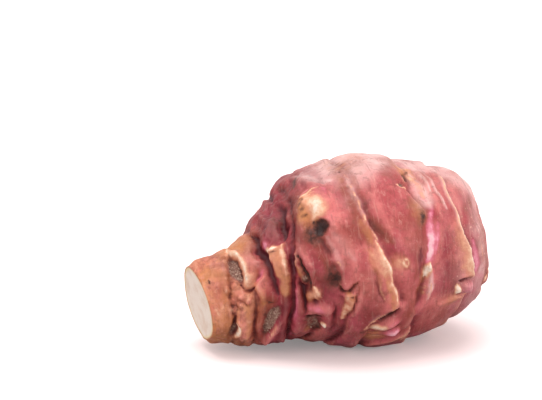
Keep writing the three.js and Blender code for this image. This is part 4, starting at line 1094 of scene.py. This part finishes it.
# Pale flecks on the tip's half, the orange skin of the neck, and the rosier skin low down.
flecks = 0.9 * ease(along + 8 * coarse, 58, 88)
neck = 1 - ease(along + 2.5 * coarse + 1.5 * middling, 10, 22)
low = ease(from_top + 25 * coarse + 10 * middling, 70, 130)

# The tuber rests on the surface, and its middle is over the middle of the part.
skin = plain + outwards(along, angle) * (height * near_cut * near_tip + end_height)[:, None]
skin[:, 2] = np.maximum(skin[:, 2], 0)
skin[:, 0] -= MIDDLE_X
tip = skin[-COLUMNS:].mean(0)

# The cut: rings from the rim to its middle, very slightly hollow, as cut flesh dries.
CUT_HOLLOW = 0.25
rim = skin[:COLUMNS]
middle = rim.mean(0)
cut = []
ring_shares = [0.98] + [1 - (ring / CUT_RINGS) ** 0.8 for ring in range(2, CUT_RINGS)]
for share in ring_shares:
    ring_points = middle + (rim - middle) * share
    ring_points[:, 0] += CUT_HOLLOW * (1 - share**2)
    cut.append(ring_points)
cut_middle = middle + (CUT_HOLLOW, 0, 0)

points = np.vstack([skin, tip, *cut, cut_middle])
tip_index = ROWS * COLUMNS
cut_start = tip_index + 1
columns = [(column, (column + 1) % COLUMNS) for column in range(COLUMNS)]
faces = []
for row in range(ROWS - 1):
    here, ahead = row * COLUMNS, (row + 1) * COLUMNS
    faces += [(here + a, here + b, ahead + b, ahead + a) for a, b in columns]
last_row = (ROWS - 1) * COLUMNS
faces += [(last_row + a, last_row + b, tip_index) for a, b in columns]
outer = 0
for ring in range(len(cut)):
    inner = cut_start + ring * COLUMNS
    faces += [(outer + b, outer + a, inner + a, inner + b) for a, b in columns]
    outer = inner
faces += [(outer + b, outer + a, len(points) - 1) for a, b in columns]
# The skin goes a little way over the edge of the cut: as far as its first ring.
skin_faces = (ROWS + 1) * COLUMNS
materials = [0] * skin_faces + [1] * (len(faces) - skin_faces)

mesh = bpy.data.meshes.new("tuber_skin")
mesh.from_pydata((points * MM).tolist(), [], faces)
mesh.polygons.foreach_set("material_index", materials)
mesh.shade_smooth()


def keep(name, values, at_tip, on_cut):
    """Stores a value for every point of the mesh, from the values on the rows of skin."""
    every = np.concatenate([values, [at_tip], on_cut])
    mesh.attributes.new(name, "FLOAT", "POINT").data.foreach_set("value", every)


on_cut = np.zeros(len(points) - cut_start)
for name, values in {**tints, "dips": dips, "flecks": flecks, "low": low}.items():
    keep(name, values, values[-COLUMNS:].mean(), on_cut)
keep("neck", neck, neck[-COLUMNS:].mean(), on_cut + 1)
# The share of the way out from the middle of the cut, for the browned rim.
keep("rim", np.ones(tip_index), 1, np.append(np.repeat(ring_shares, COLUMNS), 0))


def add_object(name, data):
    """A new object in the scene."""
    made = bpy.data.objects.new(name, data)
    bpy.context.scene.collection.objects.link(made)
    return made


tuber = add_object("tuber_skin", mesh)

# ---------------------------------------------------------------- the skin's material
# Thin, dry, slightly waxy skin: rose over brown, blotched and freckled, with orange-tan cork on
# the neck and along the scars, fresh magenta skin where it stretched last, and caked soil.


def feed(tree, socket, value):
    """Gives a socket a value, or a link where the value is another node's output."""
    if isinstance(value, bpy.types.NodeSocket):
        tree.links.new(value, socket)
    elif isinstance(value, tuple) and len(value) == 3 and socket.type == "RGBA":
        socket.default_value = (*value, 1)
    else:
        socket.default_value = value


def node(tree, kind, inputs=None, **settings):
    """A new node, with its settings, and what goes into it by the name or number of the socket."""
    made = tree.nodes.new(kind)
    for name, value in settings.items():
        setattr(made, name, value)
    for socket, value in (inputs or {}).items():
        feed(tree, made.inputs[socket], value)
    return made


def srgb(*levels):
    """A colour given as it looks, from 0 to 255, as the linear values that a shader takes."""
    return tuple((v / 255 / 12.92) if v <= 10 else ((v / 255 + 0.055) / 1.055) ** 2.4 for v in levels)


def mix(tree, share, a, b, blend="MIX"):
    """Colour b laid over colour a, as far as the share says."""
    # The colours of a mix are its sockets 6 and 7, and its colour output is number 2.
    inputs = {0: share, 6: a, 7: b}
    return node(tree, "ShaderNodeMix", inputs, data_type="RGBA", blend_type=blend).outputs[2]


def calc(tree, operation, *values, clamp=False):
    """One step of arithmetic."""
    inputs = dict(enumerate(values))
    return node(tree, "ShaderNodeMath", inputs, operation=operation, use_clamp=clamp).outputs[0]


def ramp(tree, value, low, high, to_low=0, to_high=1):
    """A smooth rise from to_low, where the value is low, to to_high, where it is high."""
    inputs = dict(enumerate((value, low, high, to_low, to_high)))
    return node(tree, "ShaderNodeMapRange", inputs, interpolation_type="SMOOTHSTEP").outputs[0]


def shades(tree, value, *stops):
    """A colour for a value, from stops of a value and a colour."""
    made = node(tree, "ShaderNodeValToRGB", {0: value})
    elements = made.color_ramp.elements
    while len(elements) < len(stops):
        elements.new(1.0)
    for element, (place, colour) in zip(elements, stops):
        element.position = place
        element.color = (*colour, 1)
    return made.outputs[0]


def cloud(tree, vector, per_metre, detail=3, roughness=0.5, distortion=0):
    """Soft random lumps, from 0 to 1."""
    inputs = {"Vector": vector, "Scale": per_metre, "Detail": detail, "Roughness": roughness,
              "Distortion": distortion}
    return node(tree, "ShaderNodeTexNoise", inputs).outputs["Fac"]


def attribute(tree, name):
    """A value stored on the mesh."""
    return node(tree, "ShaderNodeAttribute", attribute_name=name).outputs["Fac"]


def stretched(tree, vector, scale):
    """The place on the object with each of its ways scaled."""
    return node(tree, "ShaderNodeMapping", {"Vector": vector, "Scale": scale}).outputs[0]


def new_group(name, inputs, outputs):
    """An empty shader node group: number inputs, or a place where no number is given."""
    group = bpy.data.node_groups.new(name, "ShaderNodeTree")
    for label, default in inputs.items():
        kind = "NodeSocketVector" if default is None else "NodeSocketFloat"
        socket = group.interface.new_socket(label, in_out="INPUT", socket_type=kind)
        if default is not None:
            socket.default_value = default
    for label, kind in outputs.items():
        group.interface.new_socket(label, in_out="OUTPUT", socket_type=kind)
    return group, node(group, "NodeGroupInput").outputs, node(group, "NodeGroupOutput").inputs


# Ragged: makes a soft mask uneven, most of all at its edge, in patches of a given fineness.
RAGGED_REACH = 4
ragged, given, result = new_group("ragged mask",
                                  {"Where": None, "Mask": 0, "Fineness": 900, "Unevenness": 0.4},
                                  {"Mask": "NodeSocketFloat"})
patches = cloud(ragged, given["Where"], given["Fineness"], 4, 0.65)
swing = calc(ragged, "MULTIPLY", calc(ragged, "SUBTRACT", patches, 0.5), given["Unevenness"])
swing = calc(ragged, "MULTIPLY", swing, calc(ragged, "POWER", given["Mask"], 0.5))
moved = calc(ragged, "MULTIPLY_ADD", swing, RAGGED_REACH, given["Mask"])
feed(ragged, result["Mask"], calc(ragged, "MINIMUM", calc(ragged, "MAXIMUM", moved, 0), 1))


def ragged_edge(tree, where, mask, fineness, unevenness):
    inputs = {"Where": where, "Mask": mask, "Fineness": fineness, "Unevenness": unevenness}
    return node(tree, "ShaderNodeGroup", inputs, node_tree=ragged).outputs["Mask"]


# Soil: dry, grey-brown, grainy earth, with a height for its grains.
SOIL_DARK = srgb(104, 74, 64)
SOIL = srgb(160, 122, 106)
SOIL_PALE = srgb(206, 176, 158)
SOIL_STOPS = ((0.26, SOIL_DARK), (0.5, SOIL), (0.75, SOIL_PALE))
soil_group, given, result = new_group("dry soil", {"Where": None, "Fineness": 3000},
                                      {"Color": "NodeSocketColor", "Height": "NodeSocketFloat"})
grains = cloud(soil_group, given["Where"], given["Fineness"])
feed(soil_group, result["Color"], shades(soil_group, grains, *SOIL_STOPS))
feed(soil_group, result["Height"], grains)


def dry_soil(tree, where, fineness):
    made = node(tree, "ShaderNodeGroup", node_tree=soil_group)
    feed(tree, made.inputs["Where"], where)
    feed(tree, made.inputs["Fineness"], fineness)
    return made.outputs["Color"], made.outputs["Height"]


def new_material(name, roughness=0.5, specular=0.5):
    """A material with one plain shader, and the place on the object that its patterns follow."""
    material = bpy.data.materials.new(name)
    material.use_nodes = True
    tree = material.node_tree
    tree.nodes.clear()
    inputs = {"Roughness": roughness, "Specular IOR Level": specular}
    shader = node(tree, "ShaderNodeBsdfPrincipled", inputs)
    node(tree, "ShaderNodeOutputMaterial", {"Surface": shader.outputs[0]})
    return material, tree, shader, node(tree, "ShaderNodeTexCoord").outputs["Object"]


def relief(tree, shader, height, strength, distance):
    """Relief too fine for the mesh: its height from 0 to 1, its strength and how deep it goes."""
    inputs = {"Strength": strength, "Distance": distance, "Height": height}
    feed(tree, shader.inputs["Normal"], node(tree, "ShaderNodeBump", inputs).outputs[0])


ROSE = srgb(172, 70, 74)
PINK = srgb(194, 98, 96)
LOW_ROSE = srgb(176, 76, 92)
WINE = srgb(150, 52, 60)
BROWN_ROSE = srgb(160, 78, 66)
UMBER = srgb(126, 68, 58)
FLECK = srgb(232, 176, 160)
NECK = srgb(214, 134, 84)
NECK_PALE = srgb(230, 160, 114)
NECK_BROWN = srgb(158, 84, 48)
NECK_ROSE = srgb(232, 150, 124)
CRIMSON = srgb(142, 34, 50)
PALE_PINK = srgb(222, 124, 118)
DUST_AND_HIGHLIGHT = srgb(236, 192, 186)
RUST = srgb(138, 62, 44)
MAROON = srgb(100, 24, 38)
OCHRE = srgb(204, 134, 84)
# Painted shade for the dips, darker in the deepest, and a painted highlight for raised skin.
DIP_SHADE = srgb(150, 56, 70)
DIP_SHADE_DEEP = srgb(70, 16, 26)
PAINTED_RAISED_HIGHLIGHT = srgb(134, 92, 84)
# These change with how strong the tint is, from its edge to its middle.
FRESH = ((0.2, srgb(194, 64, 86)), (0.5, srgb(220, 112, 136)), (0.75, srgb(236, 154, 170)),
         (0.97, srgb(246, 198, 202)))
CORK = ((0.15, srgb(214, 136, 112)), (0.45, srgb(222, 156, 126)), (0.7, srgb(238, 190, 158)),
        (0.95, srgb(252, 228, 208)))
STAIN = ((0.2, srgb(124, 66, 46)), (0.55, srgb(82, 42, 32)), (0.95, srgb(42, 22, 20)))

skin_material, tree, shader, where = new_material("tuber skin", specular=0.25)
wide = cloud(tree, where, 60, 3, 0.55, 0.4)
blotches = cloud(tree, where, 150, 4, 0.6, 0.8)
streaks = cloud(tree, stretched(tree, where, (1, 0.3, 0.3)), 330, 4, 0.6, 0.5)
mottle = cloud(tree, where, 520, 5, 0.7)
speck = cloud(tree, where, 1500, 2)
fibres = cloud(tree, stretched(tree, where, (1, 0.14, 0.14)), 1100, 3, 0.6, 0.6)
dips = attribute(tree, "dips")


def ragged_tint(name, fineness, unevenness):
    return ragged_edge(tree, where, attribute(tree, name), fineness, unevenness)


def cover(colour, name, tone, most, fineness=420, unevenness=0.4):
    """A tint's own colour over what is under it, no more than most of the way."""
    return mix(tree, calc(tree, "MULTIPLY", ragged_tint(name, fineness, unevenness), most), colour, tone)


colour = mix(tree, ramp(tree, blotches, 0.4, 0.62), ROSE, PINK)
colour = mix(tree, calc(tree, "MULTIPLY", attribute(tree, "low"), 0.7), colour, LOW_ROSE)
colour = mix(tree, ramp(tree, wide, 0.5, 0.66, 0, 0.6), colour, BROWN_ROSE)
colour = mix(tree, ramp(tree, streaks, 0.5, 0.72, 0, 0.6), colour, WINE)
# Crimson: the skin's own colour, and in the waist partly painted shade.
colour = cover(colour, "crimson", CRIMSON, 0.84)
neck_tone = mix(tree, ramp(tree, blotches, 0.42, 0.6), NECK, NECK_PALE)
neck_tone = mix(tree, ramp(tree, streaks, 0.5, 0.7, 0, 0.6), neck_tone, NECK_BROWN)
neck_tone = mix(tree, ramp(tree, mottle, 0.5, 0.36, 0, 0.6), neck_tone, NECK_ROSE)
colour = cover(colour, "neck", neck_tone, 0.92, 260, 0.35)
colour = cover(colour, "pink", PALE_PINK, 0.7, 300, 0.3)
# Dusty skin, and painted highlights on the top, the crests and the tip.
colour = cover(colour, "dust_and_highlight", DUST_AND_HIGHLIGHT, 0.86, 260, 0.4)
colour = cover(colour, "rust", RUST, 0.8)
colour = mix(tree, ramp(tree, mottle, 0.5, 0.7, 0, 0.5), colour, UMBER)
colour = mix(tree, ramp(tree, mottle, 0.44, 0.28, 0, 0.25), colour, FLECK)
colour = mix(tree, ramp(tree, fibres, 0.54, 0.74, 0, 0.2), colour, FLECK)
colour = mix(tree, ramp(tree, fibres, 0.46, 0.28, 0, 0.4), colour, UMBER)

# The skin has crazed in some places, in a net of hair cracks that run round the tuber.
CRACK_BEND = (0.004, 0.004, 0.004)
bends = node(tree, "ShaderNodeTexNoise", {"Vector": where, "Scale": 240, "Detail": 3})
inputs = {0: bends.outputs["Color"], 1: CRACK_BEND, 2: where}
bent = node(tree, "ShaderNodeVectorMath", inputs, operation="MULTIPLY_ADD").outputs[0]
inputs = {"Vector": stretched(tree, bent, (1, 0.45, 0.45)), "Scale": 420}
net = node(tree, "ShaderNodeTexVoronoi", inputs, feature="DISTANCE_TO_EDGE")
cracks = ramp(tree, net.outputs["Distance"], 0.05, 0)
crazed = ramp(tree, cloud(tree, where, 210, 4, 0.65), 0.5, 0.66, 0, 0.12)
colour = mix(tree, calc(tree, "MULTIPLY", cracks, crazed), colour, FLECK)

flecks = calc(tree, "MULTIPLY", ramp(tree, speck, 0.62, 0.74), attribute(tree, "flecks"))
colour = mix(tree, flecks, colour, FLECK)
# Maroon: dark skin, and painted shade in the deep creases and on the waist's upper side.
colour = cover(colour, "maroon", MAROON, 0.85)
fresh = ragged_tint("fresh", 420, 0.25)
colour = mix(tree, ramp(tree, fresh, 0.05, 0.8, 0, 0.9), colour, shades(tree, fresh, *FRESH))
colour = cover(colour, "ochre", OCHRE, 0.85)
cork = ragged_tint("cork", 700, 0.3)
colour = mix(tree, ramp(tree, cork, 0.05, 0.6, 0, 0.95), colour, shades(tree, cork, *CORK))

# Painted shade: the skin is darkened in a dip, and a painted highlight makes it paler where it
# stands above the skin around it.
colour = mix(tree, ramp(tree, dips, 0.1, 1.8, 0, 0.8), colour, DIP_SHADE, "MULTIPLY")
colour = mix(tree, ramp(tree, dips, 0.4, 2.3, 0, 0.8), colour, DIP_SHADE_DEEP)
colour = mix(tree, ramp(tree, dips, -0.1, -1.8, 0, 0.45), colour, PAINTED_RAISED_HIGHLIGHT, "SCREEN")
stain = ragged_tint("stain", 700, 0.4)
colour = mix(tree, ramp(tree, stain, 0.06, 0.8, 0, 0.95), colour, shades(tree, stain, *STAIN))
soil_tone, soil_height = dry_soil(tree, where, 2000)
soil = ragged_tint("soil", 600, 0.5)
colour = mix(tree, ramp(tree, soil, 0.15, 0.8, 0, 0.9), colour, soil_tone)
feed(tree, shader.inputs["Base Color"], colour)

dull = calc(tree, "ADD", calc(tree, "MULTIPLY", soil, 0.4), calc(tree, "MULTIPLY", cork, 0.12))
gloss = calc(tree, "ADD", ramp(tree, mottle, 0.3, 0.7, 0.34, 0.52), dull, clamp=True)
feed(tree, shader.inputs["Roughness"], gloss)

bumps = cloud(tree, stretched(tree, where, (1, 0.4, 0.4)), 500, 5, 0.65)
soil_bumps = calc(tree, "MULTIPLY", soil, soil_height)
for more, share in ((mottle, 0.5), (fibres, 0.4), (soil_bumps, 1.2)):
    bumps = calc(tree, "ADD", bumps, calc(tree, "MULTIPLY", more, share))
relief(tree, shader, bumps, 0.6, 0.8 * MM)

# ---------------------------------------------------------------- the cut flesh's material
# Crisp raw flesh, off-white and damp, with faint strands round the middle and a browned rim.
FLESH = srgb(240, 221, 207)
FLESH_DEEP = srgb(228, 201, 182)
FLESH_RIM = srgb(238, 208, 160)
RIM_BROWN = srgb(140, 72, 44)

flesh_material, tree, shader, where = new_material("cut flesh")
strands = cloud(tree, where, 260, 4, 0.6)
grains = cloud(tree, where, 2600, 2)
colour = mix(tree, ramp(tree, strands, 0.42, 0.7), FLESH, FLESH_DEEP)
rim_share = attribute(tree, "rim")
colour = mix(tree, ramp(tree, rim_share, 0.86, 0.97), colour, FLESH_RIM)
browned = ragged_edge(tree, where, ramp(tree, rim_share, 0.93, 1), 500, 0.6)
colour = mix(tree, calc(tree, "MULTIPLY", browned, 0.8), colour, RIM_BROWN)
feed(tree, shader.inputs["Base Color"], colour)
feed(tree, shader.inputs["Roughness"], ramp(tree, grains, 0.3, 0.7, 0.45, 0.6))
relief(tree, shader, grains, 0.3, 0.15 * MM)

tuber.data.materials.append(skin_material)
tuber.data.materials.append(flesh_material)
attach(tuber, "root")
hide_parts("tuber")

# ================================================================ the crumbs of soil
# Dry garden soil breaks up into small angular grains, and some of them stay caught where the skin
# holds soil: in the hollows and in one crack.
CRUMB_SMALLEST, CRUMB_LARGEST = 0.12 * MM, 0.42 * MM
CRUMBS_APART = 0.55 * MM
CRUMB_CHANCES = 2.4e6
SOIL_FROM, SOIL_FULL = 0.25, 0.9
PLACES_SEED, SIZES_SEED, TURNS_SEED = 5, 6, 7

crumb_material, tree, shader, where = new_material("dry soil crumbs", 0.9, 0.2)
soil_tone, soil_height = dry_soil(tree, where, 1400)
feed(tree, shader.inputs["Base Color"], soil_tone)
relief(tree, shader, soil_height, 0.4, 0.1 * MM)

scatter = bpy.data.node_groups.new("crumbs in the hollows", "GeometryNodeTree")
for label, kind in (("Skin", "Geometry"), ("Smallest", "Float"), ("Largest", "Float"), ("Apart", "Float"),
                    ("Chances", "Float"), ("Material", "Material")):
    scatter.interface.new_socket(label, in_out="INPUT", socket_type="NodeSocket" + kind)
scatter.interface.new_socket("Crumbs", in_out="OUTPUT", socket_type="NodeSocketGeometry")
given = node(scatter, "NodeGroupInput").outputs

# Points stand on the skin where there is soil, more of them where there is more.
soiled = node(scatter, "GeometryNodeInputNamedAttribute", {"Name": "soil"}, data_type="FLOAT")
thick = node(scatter, "ShaderNodeMapRange", {
    "Value": soiled.outputs["Attribute"], "From Min": SOIL_FROM, "From Max": SOIL_FULL})
places = node(scatter, "GeometryNodeDistributePointsOnFaces", {
    "Mesh": given["Skin"], "Distance Min": given["Apart"], "Density Max": given["Chances"],
    "Density Factor": thick.outputs["Result"], "Seed": PLACES_SEED}, distribute_method="POISSON")

# Each point gets a rough ball, drawn out and turned at random.
ball = node(scatter, "GeometryNodeMeshIcoSphere", {"Radius": 1, "Subdivisions": 1})
sizes = node(scatter, "FunctionNodeRandomValue", {
    "Min": given["Smallest"], "Max": given["Largest"], "Seed": SIZES_SEED}, data_type="FLOAT_VECTOR")
turns = node(scatter, "FunctionNodeRandomValue", {
    "Min": (0, 0, 0), "Max": (math.tau, math.tau, math.tau), "Seed": TURNS_SEED}, data_type="FLOAT_VECTOR")
placed = node(scatter, "GeometryNodeInstanceOnPoints", {
    "Points": places.outputs["Points"], "Instance": ball.outputs["Mesh"],
    "Rotation": turns.outputs["Value"], "Scale": sizes.outputs["Value"]})
real = node(scatter, "GeometryNodeRealizeInstances", {"Geometry": placed.outputs["Instances"]})
coated = node(scatter, "GeometryNodeSetMaterial", {
    "Geometry": real.outputs["Geometry"], "Material": given["Material"]})
node(scatter, "NodeGroupOutput", {"Crumbs": coated.outputs["Geometry"]})

crumbs = add_object("soil_crumbs", tuber.data.copy())
spreader = crumbs.modifiers.new("crumbs", "NODES")
spreader.node_group = scatter
values = {"Smallest": CRUMB_SMALLEST, "Largest": CRUMB_LARGEST, "Apart": CRUMBS_APART,
          "Chances": CRUMB_CHANCES, "Material": crumb_material}
for item in scatter.interface.items_tree:
    if item.in_out == "INPUT" and item.name in values:
        spreader[item.identifier] = values[item.name]
evaluated = crumbs.evaluated_get(bpy.context.evaluated_depsgraph_get())
crumb_mesh = bpy.data.meshes.new_from_object(evaluated)
crumbs.modifiers.remove(spreader)
crumbs.data = crumb_mesh
# The crumbs don't need the values that came with the skin.
for layer in list(crumb_mesh.attributes.keys()):
    stored = crumb_mesh.attributes[layer]
    if not (stored.is_required or stored.is_internal or layer in ("material_index", "sharp_face")):
        crumb_mesh.attributes.remove(stored)
crumb_mesh.shade_flat()
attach(crumbs, "root")

# ================================================================ the surface and the light
# A plain white surface, much larger than the tuber, under a broad soft light from above.
FLOOR_HALF = 4
# The colour that it throws back on the tuber, the colour that is seen, and a faint glow there.
FLOOR_LIT = (0.42, 0.39, 0.39)
FLOOR_SEEN = (0.98, 0.83, 0.82)
FLOOR_GLOW = 0.18

floor_mesh = bpy.data.meshes.new("floor")
corners = [(FLOOR_HALF * x, FLOOR_HALF * y, 0) for x, y in ((-1, -1), (1, -1), (1, 1), (-1, 1))]
floor_mesh.from_pydata(corners, [], [(0, 1, 2, 3)])
floor = add_object("floor", floor_mesh)
floor_material, tree, shader, where = new_material("pale surface", 0.9, 0)
seen = node(tree, "ShaderNodeLightPath").outputs["Is Camera Ray"]
feed(tree, shader.inputs["Base Color"], mix(tree, seen, FLOOR_LIT, FLOOR_SEEN))
feed(tree, shader.inputs["Emission Color"], (1, 1, 1))
feed(tree, shader.inputs["Emission Strength"], calc(tree, "MULTIPLY", seen, FLOOR_GLOW))
floor.data.materials.append(floor_material)
floor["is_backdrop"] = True

world = bpy.data.worlds.new("studio")
bpy.context.scene.world = world
world.use_nodes = True
tree = world.node_tree
tree.nodes.clear()
rays = node(tree, "ShaderNodeLightPath").outputs
plain_view = calc(tree, "MAXIMUM", rays["Is Camera Ray"], rays["Is Glossy Ray"])
strength = ramp(tree, plain_view, 0, 1, 0.75, 1)
background = node(tree, "ShaderNodeBackground", {"Color": (1, 1, 1), "Strength": strength})
node(tree, "ShaderNodeOutputWorld", {"Surface": background.outputs[0]})

# One broad light overhead, and one at each end. Each shines its own way, with its own strength
# and its own spread in degrees.
for name, towards, strength, spread in (("overhead", (0.05, -0.05, -1), 1.85, 50),
                                        ("left", (1, 0.5, -0.2), 1.2, 60),
                                        ("right", (-1, 0.6, -0.08), 2.2, 40)):
    sun = add_object(name, bpy.data.lights.new(name, "SUN"))
    sun.data.energy = strength
    sun.data.angle = math.radians(spread)
    sun.rotation_euler = Vector(towards).to_track_quat("-Z", "Y").to_euler()

# ================================================================ the camera
AZIMUTH, ELEVATION = math.radians(-14), math.radians(15)
DISTANCE = 565 * MM
LOOK_AT = Vector((-19.5, 0, 42.65)) * MM
camera = add_object("camera", bpy.data.cameras.new("camera"))
camera.data.lens = 135
camera.data.sensor_width = 36
level = math.cos(ELEVATION)
away = Vector((math.sin(AZIMUTH) * level, -math.cos(AZIMUTH) * level, math.sin(ELEVATION)))
camera.location = LOOK_AT + DISTANCE * away
camera.rotation_euler = (-away).to_track_quat("-Z", "Y").to_euler()
bpy.context.scene.camera = camera
bpy.context.scene.view_settings.view_transform = "Standard"

size = {"cad_box": [list(corner) for corner in cad_box], "visual_box": [list(corner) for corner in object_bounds()]}
